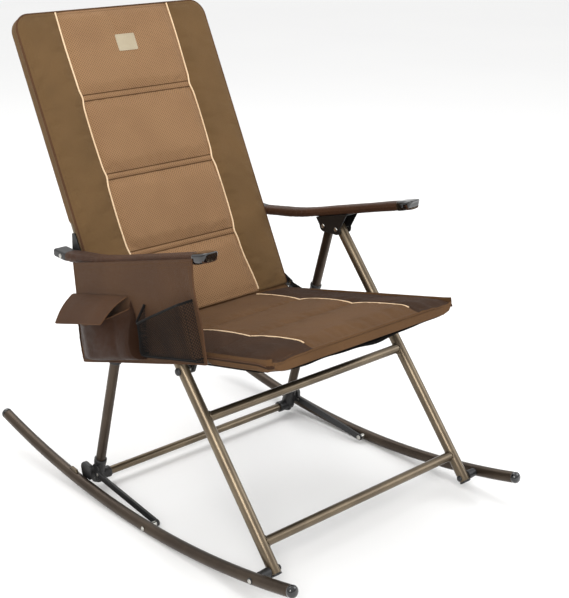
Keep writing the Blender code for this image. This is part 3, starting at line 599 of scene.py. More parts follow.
def build_rockers():
    """The curved tubes on the floor, with their caps, tabs and link bolts, and the links."""
    for mark, side in SIDES:
        body = f"rocker_{mark}"
        ys = [mix(ROCKER_FRONT_Y, ROCKER_REAR_Y, k / 90) for k in range(91)]
        path = [at(side * ROCKER_X, rocker_point(y)) for y in ys]
        # The rocker tube takes the darker bronze copy: painted shade.
        tube(f"rocker_{mark}_tube", path, LEG_R, BRONZE_PAINTED_SHADE, body, sides=40, replaces=(f"rocker_{mark}",))
        for end, near, name in ((path[0], path[1], "front"), (path[-1], path[-2], "rear")):
            turned(f"rocker_cap_{name}_{mark}_dome", end, end - near,
                   [(-0.004, 0.0104), (0.0001, 0.0106), (0.0002, 0.0124), (0.0008, 0.0128), (0.0050, 0.0128),
                    (0.0062, 0.0126), (0.0086, 0.0116), (0.0106, 0.0094), (0.0119, 0.0060), (0.0125, 0.0)],
                   GLOSS, body, sides=40, replaces=(f"rocker_cap_{name}_{mark}",), slot="black_plastic")
        tab = [rocker_point(y, LEG_R - 0.001) for y in (0.236, 0.252, 0.268)]
        tab += [rocker_point(0.262, LEG_R + 0.007), rocker_point(0.242, LEG_R + 0.007)]
        plate(f"rocker_tab_{mark}", rounded_outline(tab, 0.003, 4), (ROCKER_X - 0.003, ROCKER_X + 0.003),
              side, BRONZE, body)
        rest = [(0.2000, 0.0300), (0.2350, 0.0300), (0.2400, 0.0560), (0.2300, 0.0680), (0.2000, 0.0640)]
        plate(f"hub_rest_{mark}_block", rounded_outline(rest, 0.008), (0.3140, ROCKER_X - LEG_R + 0.0016),
              side, PLASTIC, body, bevel=0.0012, replaces=(f"hub_rest_{mark}",))
        near, far = ROCKER_X - LEG_R, ROCKER_X + LEG_R
        cross_bolt(f"link_bolt_{mark}_pin", LINK_FRONT, side,
                   dome(0.3066, 0.0058, 0.0026, True) + [(0.3068, 0.0030), (0.3132, 0.0030), (0.3134, 0.0060),
                    (near + 0.0008, 0.0060), (near + 0.0010, 0.0034), (far, 0.0034)]
                    + dome(far, 0.0048, 0.0028), STEEL, body, replaces=(f"link_bolt_{mark}",))
        outline = []
        way = (Vector(LINK_REAR) - Vector(LINK_FRONT)).normalized()
        over = Vector((-way.y, way.x))
        for centre, sign in ((LINK_REAR, 1), (LINK_FRONT, -1)):
            for k in range(13):
                a = math.radians(-90 + 15 * k)
                outline.append(tuple(Vector(centre) + way * (sign * 0.0075 * math.cos(a))
                                     + over * (sign * 0.0075 * math.sin(a))))
        plate(f"link_{mark}_bar", outline, LINK_LAYER, side, PLASTIC, f"link_{mark}", bevel=0.0009,
              replaces=(f"link_{mark}",))
        cross_bolt(f"link_rivet_{mark}", LINK_REAR, side,
                   dome(0.3071, 0.0036, 0.0002, True) + dome(0.3129, 0.0036, 0.0009), STEEL, f"link_{mark}")


def build_rear_frame():
    """The rear legs with their hubs, screws and sliders, and the bar between the hubs."""
    upright = Vector((0, REAR_PIVOT[0] - HUB[0], REAR_PIVOT[1] - HUB[1])).normalized()
    flat = Vector((upright.y, upright.z))
    low, high = Vector(HUB) + flat * 0.004, Vector(REAR_PIVOT) + flat * 0.006
    for mark, side in SIDES:
        x = side * REAR_X
        path = [at(x, low.lerp(high, t / 8)) for t in range(9)]
        # The rear leg takes the darker bronze copy: painted shade.
        tube(f"rear_leg_{mark}_tube", path, REAR_R, BRONZE_PAINTED_SHADE, "rear_frame", sides=40,
             replaces=(f"rear_leg_{mark}",))
        foot = at(x, HUB)
        turned(f"hub_{mark}_sleeve", foot, upright,
               [(-0.0125, 0.0), (-0.0125, 0.0110), (-0.0112, 0.0131), (0.030, 0.0133), (0.0385, 0.0134),
                (0.0395, 0.0141), (0.0480, 0.0142), (0.0495, 0.0137), (0.0500, 0.0124), (0.0498, 0.0112),
                (0.0440, 0.0111), (0.0440, 0.0)],
               PLASTIC, "rear_frame", sides=40, replaces=(f"hub_{mark}",))
        cross_bolt(f"hub_socket_{mark}", HUB, side,
                   [(0.2620, 0.0098), (0.2620, 0.0126), (0.2632, 0.0136), (0.2668, 0.0136), (0.2680, 0.0128),
                    (0.2900, 0.0133), (0.3045, 0.0133), (0.3060, 0.0122), (0.3062, 0.0)],
                   PLASTIC, "rear_frame", sides=40)
        web = [(HUB[0] + y, HUB[1] + z) for y, z in
               ((-0.0125, -0.006), (0.0135, -0.006), (0.0120, 0.016), (-0.0050, 0.036), (-0.0190, 0.030))]
        plate(f"hub_web_{mark}", rounded_outline(web, 0.005), (0.2860, 0.3058), side, PLASTIC, "rear_frame",
              bevel=0.0012)
        cross_bolt(f"hub_screw_{mark}", HUB, side, dome(0.3056, 0.0044, 0.0013), STEEL,
                   "rear_frame")
        grip = at(x, SLIDER)
        turned(f"slider_{mark}_collar", grip, upright,
               [(-0.0245, 0.0114), (-0.0250, 0.0128), (-0.0240, 0.0139), (-0.0190, 0.0141), (-0.0175, 0.0131),
                (0.0175, 0.0131), (0.0190, 0.0141), (0.0240, 0.0139), (0.0250, 0.0128), (0.0245, 0.0114)],
               PLASTIC, f"slider_{mark}", sides=40, replaces=(f"slider_{mark}",))
        boss = [(SLIDER[0] + y, SLIDER[1] + z) for y, z in
                ((-0.0105, -0.010), (0.0105, -0.010), (0.0105, 0.010), (-0.0105, 0.010))]
        plate(f"slider_boss_{mark}", rounded_outline(boss, 0.008), (REAR_X + 0.004, 0.3054), side, PLASTIC,
              f"slider_{mark}", bevel=0.0014)
        cross_bolt(f"slider_rivet_{mark}", SLIDER, side, dome(0.3053, 0.0048, 0.0009), STEEL,
                   f"slider_{mark}")
    end = REAR_X - REAR_R - 0.002
    tube("rear_crossbar_tube", [at(mix(-end, end, t / 8), HUB) for t in range(9)], BAR_R, BRONZE,
         "rear_frame", normal=Z, sides=40, replaces=("rear_crossbar",))


def side_view(place, corners):
    """Points (distance, rise) on a cover as (y, z)."""
    return [(p.y - SHIFT_Y, p.z) for p in (place(s, rise) for s, rise in corners)]


PAD_FRAMES = (
    # body, place, length, bend, depth of the tubes, bent end, cross bar, its distance from the crease
    ("seat", seat_point, SEAT_LENGTH, 0.030, SEAT_TUBE_DEPTH, "seat_front_tube", "seat_rear_bar", 0.025),
    ("back", back_point, BACK_LENGTH, BACK_CORNER, TUBE_DEPTH, "back_top_tube", "back_lower_bar", 0.030),
)


def build_pad_frames():
    """Bent tubes under the seat and back covers, and the plates that hinge them."""
    for name, place, length, bend, depth, bent, cross, low in PAD_FRAMES:
        far = length - 0.0115
        way = (place(1.0, 0) - place(0, 0)).normalized()
        path = [place(mix(0.012, far - bend, k / 12), -depth, -RAIL_X) for k in range(12)]
        path += arc_points(place(far, -depth, -RAIL_X), -way, X, bend)
        path += [place(far, -depth, mix(-RAIL_X + bend, RAIL_X - bend, k / 8)) for k in range(1, 8)]
        path += arc_points(place(far, -depth, RAIL_X), -way, -X, bend)[::-1]
        path += [place(mix(far - bend, 0.012, k / 12), -depth, RAIL_X) for k in range(1, 13)]
        tube(f"{name}_frame_tube", path, BAR_R, BRONZE, name, sides=32,
             replaces=(bent, f"{name}_rail_R", f"{name}_rail_L"))
        reach = RAIL_X - BAR_R * 0.7
        path = [place(low, -depth, mix(-reach, reach, k / 6)) for k in range(7)]
        tube(f"{cross}_tube", path, BAR_R, BRONZE, name, normal=Z, sides=32, replaces=(cross,))
    top = ((-0.001, 0.009), (0.002, 0.016), (0.011, 0.016), (0.017, 0.010))
    for mark, side in SIDES:
        tab = arc(SEAT_PIVOT, 0.010, 190, 350, 13)
        tab += [(SEAT_PIVOT[0] + 0.022, SEAT_PIVOT[1] + 0.018),
                (SEAT_PIVOT[0] - 0.022, SEAT_PIVOT[1] + 0.027)]
        plate(f"seat_tab_{mark}", tab, (0.2605, 0.2676), side, BLACK_METAL, "seat")
        shape = side_view(seat_point, top + ((0.068, -0.012), (0.068, -0.030), (0.004, -0.030)))
        plate(f"seat_hinge_{mark}_plate", rounded_outline(shape, 0.006, 4), SEAT_HINGE_LAYER, side,
              BLACK_METAL, "seat", replaces=(f"seat_hinge_{mark}",))
        cross_bolt(f"seat_hinge_pin_{mark}", SLIDER, side, [(0.2640, 0.0), (0.2640, 0.0046), (0.2660, 0.0050),
                   (REAR_X - 0.0150, 0.0050), (REAR_X - 0.0148, 0.0046), (REAR_X - 0.0148, 0.0)], STEEL,
                   "seat")
        shape = side_view(back_point, top + ((0.046, -0.014), (0.046, -0.030), (0.004, -0.030)))
        plate(f"back_hinge_{mark}_plate", rounded_outline(shape, 0.006, 4), BACK_HINGE_LAYER, side,
              BLACK_METAL, "back", replaces=(f"back_hinge_{mark}",))
        cross_bolt(f"back_hinge_pin_{mark}", BACK_PIVOT, side,
                   [(0.2640, 0.0), (0.2642, 0.0044), (0.2650, 0.0046), (0.2690, 0.0046)]
                   + dome(0.2693, 0.0046, 0.0018), STEEL, "back")
        shape = arc(ARM_REAR_PIVOT, 0.009, -100, 20, 9)
        shape += side_view(back_point, ((0.2460, -0.0240), (0.2420, -0.0130), (0.1700, -0.0130)))
        plate(f"back_bracket_{mark}_plate", shape, BACK_BRACKET_LAYER, side, BLACK_METAL, "back",
              replaces=(f"back_bracket_{mark}",))
        cross_bolt(f"back_bracket_pin_{mark}", ARM_REAR_PIVOT, side,
                   dome(0.2621, 0.0048, 0.0020, True) + [(0.2622, 0.0031), (0.2985, 0.0030), (0.2986, 0.0)],
                   STEEL, "back")


# ---------------------------------------------------------------- quilted covers

def ripple(x, y, z, scale):
    return noise.noise(Vector((x, y, z)) * scale)


def loft_up(distance, reach):
    """How far a filled panel has risen at this distance from its seam, from 0 to 1."""
    t = min(max(distance / reach, 0.0), 1.0)
    return 1 - (1 - t) ** 2.4


def marks_along(start, end, step, seams, fine, reach):
    marks, s = [], start
    while s < end - fine * 0.5:
        marks.append(s)
        s += fine if min(abs(s - seam) for seam in seams) < reach else step
    return marks + [end]


def half_width(s, length, corner):
    """Half the width of a cover at s, with its far corners rounded."""
    over = s - (length - corner)
    return PAD_X if over <= 0 else PAD_X - corner + math.sqrt(max(corner ** 2 - over ** 2, 0.0))


def outline_path(start, length, corner, inset):
    """(x, s) along the cover's edge: up one side, round the far end and down the other."""
    half, far, r = PAD_X - inset, length - inset, max(corner - inset, 0.003)
    one = [(-half, mix(start, far - r, k / 40)) for k in range(41)]
    bend = [(-half + r - r * math.cos(a), far - r + r * math.sin(a))
            for a in (math.pi / 2 * k / 12 for k in range(1, 13))]
    across = [(mix(-half + r, half - r, k / 40), far) for k in range(1, 40)]
    return one + bend + across + [(-x, s) for x, s in (one + bend)[::-1]]


def swell(obj, held, out, bases):
    """Cloth simulation of a filled cover: it swells between the points held by its seams.
    out is the way it faces, and bases holds the flat place under each free point."""
    group = obj.vertex_groups.new(name="held")
    group.add(held, 1.0, "REPLACE")
    cloth = obj.modifiers.new("cloth", "CLOTH")
    made = cloth.settings
    made.vertex_group_mass, made.quality, made.mass = "held", 5, 0.25
    made.tension_stiffness = made.compression_stiffness = 12.0
    made.shear_stiffness, made.bending_stiffness = 4.0, 0.08
    made.use_pressure, made.uniform_pressure_force = True, SWELL_PRESSURE
    made.shrink_min = made.shrink_max = SWELL_SHRINK
    made.effector_weights.gravity = 0.0
    cloth.point_cache.frame_start, cloth.point_cache.frame_end = 1, SWELL_FRAMES
    scene = bpy.context.scene
    for tick in range(1, SWELL_FRAMES + 1):
        scene.frame_set(tick)
    shaped = obj.evaluated_get(bpy.context.evaluated_depsgraph_get()).data.vertices
    moved = [v.co.copy() for v in shaped]
    obj.modifiers.remove(cloth)
    obj.vertex_groups.remove(group)
    scene.frame_set(1)
    still = set(held)
    for vertex, now, base in zip(obj.data.vertices, moved, bases):
        if vertex.index in still or base is None:
            continue
        step = now - vertex.co
        if not math.isfinite(step.length):
            continue
        step *= min(1.0, MOST_MOVE / max(step.length, 1e-9))
        lift = (vertex.co + step - base).dot(out)
        vertex.co += step - out * max(lift - MOST_LIFT, 0.0)


def quilt(name, place, length, corner, piping, seams, height, cloths, body, replaced):
    """A filled cover as one closed body: crowned panels in front, a flat back. cloths are (middle, sides)."""
    side_n, mid_n = 16, 46
    rows, levels = [], marks_along(COVER_START, length, 0.0055, seams, 0.0017, 0.012)
    middles = BACK_CHANNELS if name == "back_cover" else (-1.0,)
    for s in levels:
        w, p = half_width(s, length, corner), piping(s)
        half = [w, w - 0.0012] + [mix(w - 0.003, p, 0.5 - 0.5 * math.cos(math.pi * k / side_n))
                                  for k in range(side_n + 1)]
        xs = [-x for x in half]
        xs += [p * (-math.cos(math.pi * k / mid_n) * 0.35 + (2 * k / mid_n - 1) * 0.65)
               for k in range(1, mid_n)]
        xs += half[::-1]
        drop = [0.0042, 0.0012] + [0.0] * (len(xs) - 4) + [0.0012, 0.0042]
        front = [place(s, height(x, s) - d, x) for x, d in zip(xs, drop)]
        floor = [min(-0.0118, height(x, s) - d - 0.0035) for x, d in zip(xs, drop)]
        rows.append(front + [place(s, f, x) for x, f in zip(xs[::-1], floor[::-1])])
    count, front_n = len(rows[0]), len(rows[0]) // 2
    made = skin(name, rows, cloths, None, wrap=True, caps=True, angle=0, replaces=(replaced,))
    for i, face in enumerate(made.data.polygons[:(len(rows) - 1) * count]):
        k = i % count
        face.material_index = 0 if side_n + 2 <= k < front_n - side_n - 3 else 1
    held, bases = [], []
    for j, s in enumerate(levels):
        w, p = half_width(s, length, corner), piping(s)
        seam = min(abs(s - mark) for mark in seams)
        for k in range(count):
            x = rows[j][k].x
            least = 0.0022 if min(abs(s - m) for m in middles) > CHANNEL else 0.006
            inside = abs(x) < p - 0.003 and seam > least
            outside = p + 0.003 < abs(x) < w - 0.010
            label = abs(x - LABEL_AT[0]) < 0.034 and abs(s - LABEL_AT[1]) < 0.028 and name == "back_cover"
            free = k < front_n and (inside or outside) and 0.022 < s < length - 0.012 and not label
            if not free:
                held.append(j * count + k)
            bases.append(place(s, 0.0, x) if free else None)
    swell(made, held, place(0.1, 1.0) - place(0.1, 0.0), bases)
    made.data.update()
    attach(made, body)
    return made


def piping_pair(name, place, path, height, radius, body):
    """The cords down both sides of a cover, along a path of (x, s)."""
    for mark, side in SIDES:
        line = [place(s, height(side * x, s) + radius * 0.55, side * x) for x, s in path]
        tube(f"{name}_{mark}", line, radius, PIPING, body, sides=12, wall=0)


def surface_row(place, height, path):
    """(point, normal) along a path of (x, s) on a cover's front."""
    row = []
    for x, s in path:
        here = place(s, height(x, s), x)
        over = place(s, height(x + 0.001, s), x + 0.001) - here
        on = place(s + 0.001, height(x, s + 0.001), x) - here
        out = over.cross(on).normalized()
        row.append((here, out if out.dot(place(s, 1.0, x) - here) > 0 else -out))
    return row


def shell(name, place, length, corner, depth, notch, material, body, skirt, top=0.003,
          taper=0.0):
    """The cloth behind a cover: down both sides, round behind the tubes and closed over the far end."""
    rows = []
    for s in marks_along(0.014, length - 0.0006, 0.010, (length,), 0.0035, 0.045):
        w = half_width(s, length, corner) - 0.0008
        rows.append(shell_row(place, s, w, depth, notch(s), skirt, length, taper))
    w = half_width(length - 0.0006, length, corner) - 0.0008
    for share in (0.16, 0.4, 0.7, 1.0):
        rows.append(shell_row(place, length - 0.0006, w, mix(depth, top, share), w, skirt, length, taper))
    made = skin(name, rows, material, body, angle=0)
    modifier(made, "SOLIDIFY", thickness=0.0007, offset=0.0)
    return made


def shell_row(place, s, w, depth, narrow, skirt, length, taper):
    """One section of a shell: in past the hinges where it's narrow, and flat behind."""
    rises = [0.0025, 0.0065, 0.0105, skirt, mix(skirt, depth, 0.45), mix(skirt, depth, 0.8), depth]
    widths = [w, w, min(w, narrow + 0.0008), min(w, narrow), min(w, narrow) - 0.0012, min(w, narrow) - 0.0055,
              min(w, narrow) - 0.0115]
    half = [(x, min(r, depth)) for x, r in zip(widths, rises)]
    inner = half[-1][0]
    flat = [(inner * (1 - k / 14), depth) for k in range(1, 14)]
    right = half + flat
    line = right + [(0.0, depth)] + [(-x, r) for x, r in right[::-1]]
    out = []
    for x, r in line:
        sag = 0.0009 * ripple(x, s, 3.0, 9.0) if r >= depth - 1e-6 else 0.0004 * ripple(x, s, 5.0, 30.0)
        near = 1 - taper * (1 - smooth(math.hypot(PAD_X - abs(x), length - s) / 0.030))
        out.append(place(s, (-r - (sag if depth > 0.01 else 0.0)) * near, x))
    return out


LABEL_AT = (0.006, 0.650)
BACK_CHANNELS = (0.166, 0.349, 0.534)
CHANNEL = 0.007
BACK_SEAMS = tuple(c + d for c in BACK_CHANNELS for d in (-CHANNEL, CHANNEL))
SEAT_SEAMS = (0.170, 0.340)


def back_piping(s):
    pinch = sum(math.exp(-((s - c) / 0.014) ** 2) for c in BACK_CHANNELS)
    return 0.1565 + 0.014 * smooth((0.13 - s) / 0.13) - 0.0035 * pinch + 0.0008 * math.sin(s * 31)


def back_height(x, s):
    """How far the back's face rises, with its channels, puckers and soft folds."""
    p, w = back_piping(s), half_width(s, BACK_LENGTH, BACK_CORNER)
    ends = min(BACK_LENGTH - s, s + 0.02)
    if abs(x) < p:
        near = min(abs(s - seam) for seam in BACK_SEAMS)
        channel = min(abs(s - c) for c in BACK_CHANNELS)
        border = loft_up(p - abs(x), 0.040) * loft_up(ends, 0.030)
        if channel < CHANNEL:
            arch = math.cos(math.pi / 2 * channel / CHANNEL) ** 0.8
            return 0.0034 * arch * loft_up(p - abs(x), 0.01) - 0.0016
        puff = loft_up(near, 0.030) * border
        wave = math.sin(x * 250 + 3 * ripple(x, s, 1.0, 30))
        pucker = 0.0006 * wave * math.exp(-near / 0.012) * loft_up(near, 0.006)
        pucker += 0.0004 * math.sin(s * 300 + 3 * ripple(x, s, 2.0, 30)) * math.exp(-(p - abs(x)) / 0.010)
        return 0.0074 * puff - 0.0006 + pucker * border + 0.0011 * ripple(x, s, 0.0, 13) * puff
    edge = w - abs(x)
    puff = loft_up(abs(x) - p, 0.026) * loft_up(edge, 0.022) * loft_up(ends, 0.026)
    drag = 0.0009 * math.sin((s + (abs(x) - p) * 0.6) * 105 + 4 * ripple(x, s, 4.0, 14))
    return 0.0004 + 0.0034 * puff + (drag * 0.5 + 0.0013 * ripple(x, s, 6.0, 17)) * puff


def seat_piping(s):
    dip = sum(math.exp(-((s - c) / 0.016) ** 2) for c in SEAT_SEAMS)
    return 0.1500 - 0.0016 * dip + 0.0008 * math.sin(s * 27)


def seat_arch(s):
    """Each section of the seat swells between its cross seams, from 0 at a seam to 1."""
    marks = (-0.06, *SEAT_SEAMS, SEAT_LENGTH + 0.004)
    for low, high in zip(marks, marks[1:]):
        if s <= high:
            return max(math.sin(math.pi * (s - low) / (high - low)), 0.0) ** 0.62
    return 0.0


def seat_height(x, s):
    """How far the seat's face rises, with its nose, puckers and soft folds."""
    p, w = seat_piping(s), half_width(s, SEAT_LENGTH, SEAT_CORNER)
    front = SEAT_LENGTH - s
    near = min(abs(s - seam) for seam in SEAT_SEAMS)
    arch = seat_arch(s)
    nose = 0.0092 * (1 - smooth(front / 0.046)) ** 1.3
    if abs(x) < p:
        border = loft_up(p - abs(x), 0.040)
        wave = math.sin(x * 190 + 5 * ripple(x, s, 1.0, 24))
        pucker = 0.0009 * wave * math.exp(-near / 0.016) * loft_up(near, 0.005)
        slant = math.sin((abs(x) * 0.5 + s) * 95 + 6 * ripple(x, s, 8.0, 9))
        pull = 0.0012 * slant * math.exp(-(p - abs(x)) / 0.05)
        soft = 0.0016 * ripple(x, s, 2.0, 12) + pull * 0.6
        return 0.0055 * arch + 0.0018 * arch * border + (pucker + soft * arch) * border - nose
    away, edge = abs(x) - p, w - abs(x)
    share = away / (w - p)
    fall = 0.0055 * arch * (1 - share) ** 1.5 - 0.0085 * smooth(share) * (0.5 + 0.5 * smooth(s / 0.25))
    puffed = 0.0030 * loft_up(away, 0.030) * loft_up(edge, 0.030) * arch
    drag = 0.0012 * math.sin((s * 0.8 - away * 1.3) * 110 + 6 * ripple(x, s, 3.0, 11))
    soft = (drag + 0.0016 * ripple(x, s, 7.0, 14)) * loft_up(edge, 0.02) * loft_up(away, 0.014)
    return fall + puffed + soft - nose * (1 - 0.5 * share)


def build_back_cover():
    """The back's cover with its piping, binding, stitches, dark cords along the channel seams that paint the
    shade in the grooves, and rear cloth.
    """
    quilt("back_cover", back_point, BACK_LENGTH, BACK_CORNER, back_piping, BACK_SEAMS, back_height,
          (AIR_MESH, SIDE_CLOTH), "back", "back_pad")
    marks = marks_along(0.014, BACK_LENGTH - 0.003, 0.005, BACK_SEAMS, 0.003, 0.02)
    piping_pair("back_piping", back_point, [(back_piping(s), s) for s in marks], back_height, 0.0019, "back")
    edge = [back_point(s, -0.0010, x) for x, s in outline_path(0.012, BACK_LENGTH, BACK_CORNER, 0.0010)]
    tube("back_binding", edge, 0.0025, BINDING, "back", normal=back_point(0, 1) - back_point(0, 0), sides=12,
         wall=0)
    rows = [surface_row(back_point, back_height, outline_path(0.03, BACK_LENGTH, BACK_CORNER, 0.0085))]
    for seam in BACK_SEAMS:
        reach = back_piping(seam) - 0.004
        rows.append(surface_row(back_point, back_height,
                                [(mix(-reach, reach, k / 60), seam) for k in range(61)]))
    stitches("back_stitching", rows, THREAD, "back")
    # Dark cords along each channel: painted shade in the channel grooves.
    for count, seam in enumerate(BACK_SEAMS):
        reach = back_piping(seam) - 0.0018
        line = [back_point(seam, -0.0010, mix(-reach, reach, k / 60)) for k in range(61)]
        tube(f"back_channel_shade_cord_{count + 1}", line, 0.0016, CHANNEL_SHADE_CLOTH, "back", normal=Z, sides=10, wall=0)
    shell("back_shell", back_point, BACK_LENGTH, BACK_CORNER, 0.0342,
          lambda s: 0.2600 if 0.150 < s < 0.268 else (0.2625 if s < 0.08 else PAD_X), SIDE_CLOTH, "back",
          0.0200)
    build_label()


def build_label():
    """A plain woven tag, sewn flat onto the upper back."""
    wide, high = LABEL_WIDE / 2, LABEL_HIGH / 2
    shape = rounded_outline([(-wide, -high), (wide, -high), (wide, high), (-wide, high)], 0.004, 6)
    rows = []
    for lift, shrink in ((-0.0006, 1.0), (0.0006, 1.0), (0.0010, 0.985), (0.0010, 0.92), (0.0005, 0.90),
                         (0.0008, 0.86), (0.0008, 0.6), (0.0008, 0.3)):
        row = []
        for u, v in shape:
            x, s = LABEL_AT[0] + u * shrink, LABEL_AT[1] + v * shrink
            row.append(back_point(s, back_height(x, s) + lift, x))
        rows.append(row)
    skin("plain_label", rows, LABEL, "back", wrap=True, caps=True, angle=0)


def build_seat_cover():
    """The seat's cover with its piping, binding, stitches, skirt and lining."""
    # The side panels take the darker copy of the seat cloth as painted shade.
    quilt("seat_cover", seat_point, SEAT_LENGTH, SEAT_CORNER, seat_piping, SEAT_SEAMS, seat_height,
          (SEAT_CLOTH, SEAT_SIDE_PAINTED_SHADE), "seat", "seat_pad")
    marks = marks_along(0.014, SEAT_LENGTH - 0.026, 0.005, SEAT_SEAMS, 0.003, 0.02)
    piping_pair("seat_piping", seat_point, [(seat_piping(s), s) for s in marks], seat_height, 0.0015, "seat")
    for mark, side in SIDES:
        edge = [seat_point(s, seat_height(side * (PAD_X - 0.001), s) - 0.0030, side * (PAD_X - 0.001))
                for s in (mix(0.012, SEAT_LENGTH - 0.012, k / 60) for k in range(61))]
        tube(f"seat_binding_{mark}", edge, 0.0019, BINDING, "seat", sides=12, wall=0)
    rows = [surface_row(seat_point, seat_height, outline_path(0.03, SEAT_LENGTH, SEAT_CORNER, 0.0095))]
    for seam in SEAT_SEAMS:
        reach = seat_piping(seam)
        rows.append(surface_row(seat_point, seat_height,
                                [(mix(-reach, reach, k / 60), seam) for k in range(61)]))
    for depth in (0.0135, 0.0240):
        for side in (-1, 1):
            rows.append([(seat_point(mix(0.10, SEAT_LENGTH - 0.04, k / 60), -depth, side * (PAD_X - 0.0004)),
                          X * side)
                         for k in range(61)])
    stitches("seat_stitching", rows, THREAD, "seat")
    shell("seat_skirt", seat_point, SEAT_LENGTH, SEAT_CORNER, 0.0308,
          lambda s: 0.2590 if 0.250 < s < 0.335 else (0.2620 if s < 0.09 else 0.2632), SEAT_CLOTH, "seat",
          0.0185, top=0.0125, taper=0.45)
    rows = []
    for j in range(61):
        s = mix(0.030, SEAT_LENGTH - 0.0045, j / 60)
        row = []
        for k in range(61):
            reach = 0.2560 - 0.030 * smooth((s - SEAT_LENGTH + 0.05) / 0.05)
            x = mix(-reach, reach, k / 60)
            across = math.sin(math.pi * k / 60) ** 0.8
            front = math.exp(-((SEAT_LENGTH - s) / 0.045) ** 2)
            sag = 0.0085 * front * across * (0.75 + 0.35 * math.sin(x * 26 + 0.9) + 0.15 * math.sin(x * 61))
            row.append(seat_point(s, -0.0322 - 0.0030 * across * math.sin(math.pi * j / 60) - sag, x))
        rows.append(row)
    lining = skin("seat_lining", rows, LINING, "seat", angle=0)
    modifier(lining, "SOLIDIFY", thickness=0.0006, offset=0.0)


def build_crease():
    """The strip of cover that carries on from the seat into the back, behind the two pads' ends."""
    turn = [(seat_point, 0.024, -0.0040), (seat_point, 0.016, -0.0036), (seat_point, 0.0095, -0.0026),
            (seat_point, 0.0045, -0.0006), (back_point, 0.0045, -0.0006), (back_point, 0.0095, -0.0026),
            (back_point, 0.016, -0.0036), (back_point, 0.024, -0.0040)]
    rows = []
    for index, (place, s, rise) in enumerate(turn):
        rows.append([place(s, rise + 0.0004 * ripple(k * 0.1, index * 0.2, 1.0, 1.5),
                           mix(-0.2600, 0.2600, k / 70))
                     for k in range(71)])
    crease = skin("crease_cloth", rows, SEAT_CLOTH, None, angle=0)
    modifier(crease, "SOLIDIFY", thickness=0.0012, offset=0.0)
    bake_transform(crease)


# ---------------------------------------------------------------- arms

def arm_line(y, below):
    """A point this far under the straight front part of the arm."""
    (y0, z0), (y1, z1) = ARM_PATH[:2]
    slope = math.atan2(z1 - z0, y1 - y0)
    return (y, z0 + (y - y0) * math.tan(slope) - (0.010 + below) / math.cos(slope))


def arm_centre():
    """The arm's centre line as (y, z), its corner rounded."""
    a, b, c = (Vector(p) for p in ARM_PATH)
    into, onto = (b - a).normalized(), (c - b).normalized()
    reach = 0.045
    marks = [a.lerp(b - into * reach, k / 34) for k in range(35)]
    for k in range(1, 12):
        t = k / 12
        marks.append((b - into * reach) * (1 - t) ** 2 + b * 2 * t * (1 - t) + (b + onto * reach) * t * t)
    return marks + [(b + onto * reach).lerp(c, k / 12) for k in range(13)]


def box_ring(centre, side, up, wide, high, corner, per=7, bulge=0.0):
    """A rounded box section. bulge swells its flat sides."""
    ring_points = []
    for cx, cy, first in ((1, 1, 0), (-1, 1, 90), (-1, -1, 180), (1, -1, 270)):
        for k in range(per):
            a = math.radians(first + 90 * k / (per - 1))
            u = cx * (wide / 2 - corner) + corner * math.cos(a)
            v = cy * (high / 2 - corner) + corner * math.sin(a)
            ring_points.append((u, v))
    out = []
    for i, (u, v) in enumerate(ring_points):
        out.append(centre + side * u + up * v)
        if i % per == per - 1:
            nu, nv = ring_points[(i + 1) % len(ring_points)]
            for t in (0.2, 0.4, 0.6, 0.8):
                mu, mv = mix(u, nu, t), mix(v, nv, t)
                grow = Vector((mu, mv)).normalized() * (bulge * math.sin(math.pi * t))
                out.append(centre + side * (mu + grow.x) + up * (mv + grow.y))
    return out


def tuck(row, centre, share):
    """A ring of cloth drawn in towards its centre."""
    return [centre + (q - centre) * share for q in row]


NOSE_RINGS = (
    # forward, rise, width, height, lean
    (-0.0310, 0, 0.0385, 0.0202, 0), (-0.0308, 0, 0.0400, 0.0219, 0), (-0.0298, 0, 0.0408, 0.0226, 0),
    (-0.0240, 0, 0.0408, 0.0226, 0), (-0.0120, 0, 0.0404, 0.0222, 0.001),
    (-0.0030, 0.0004, 0.0392, 0.0206, 0.002),
    (0.0030, 0.0014, 0.0360, 0.0172, 0.0032), (0.0064, 0.0030, 0.0300, 0.0120, 0.0036),
    (0.0082, 0.0046, 0.0210, 0.0070, 0.003), (0.0090, 0.0056, 0.0090, 0.0025, 0.002),
)


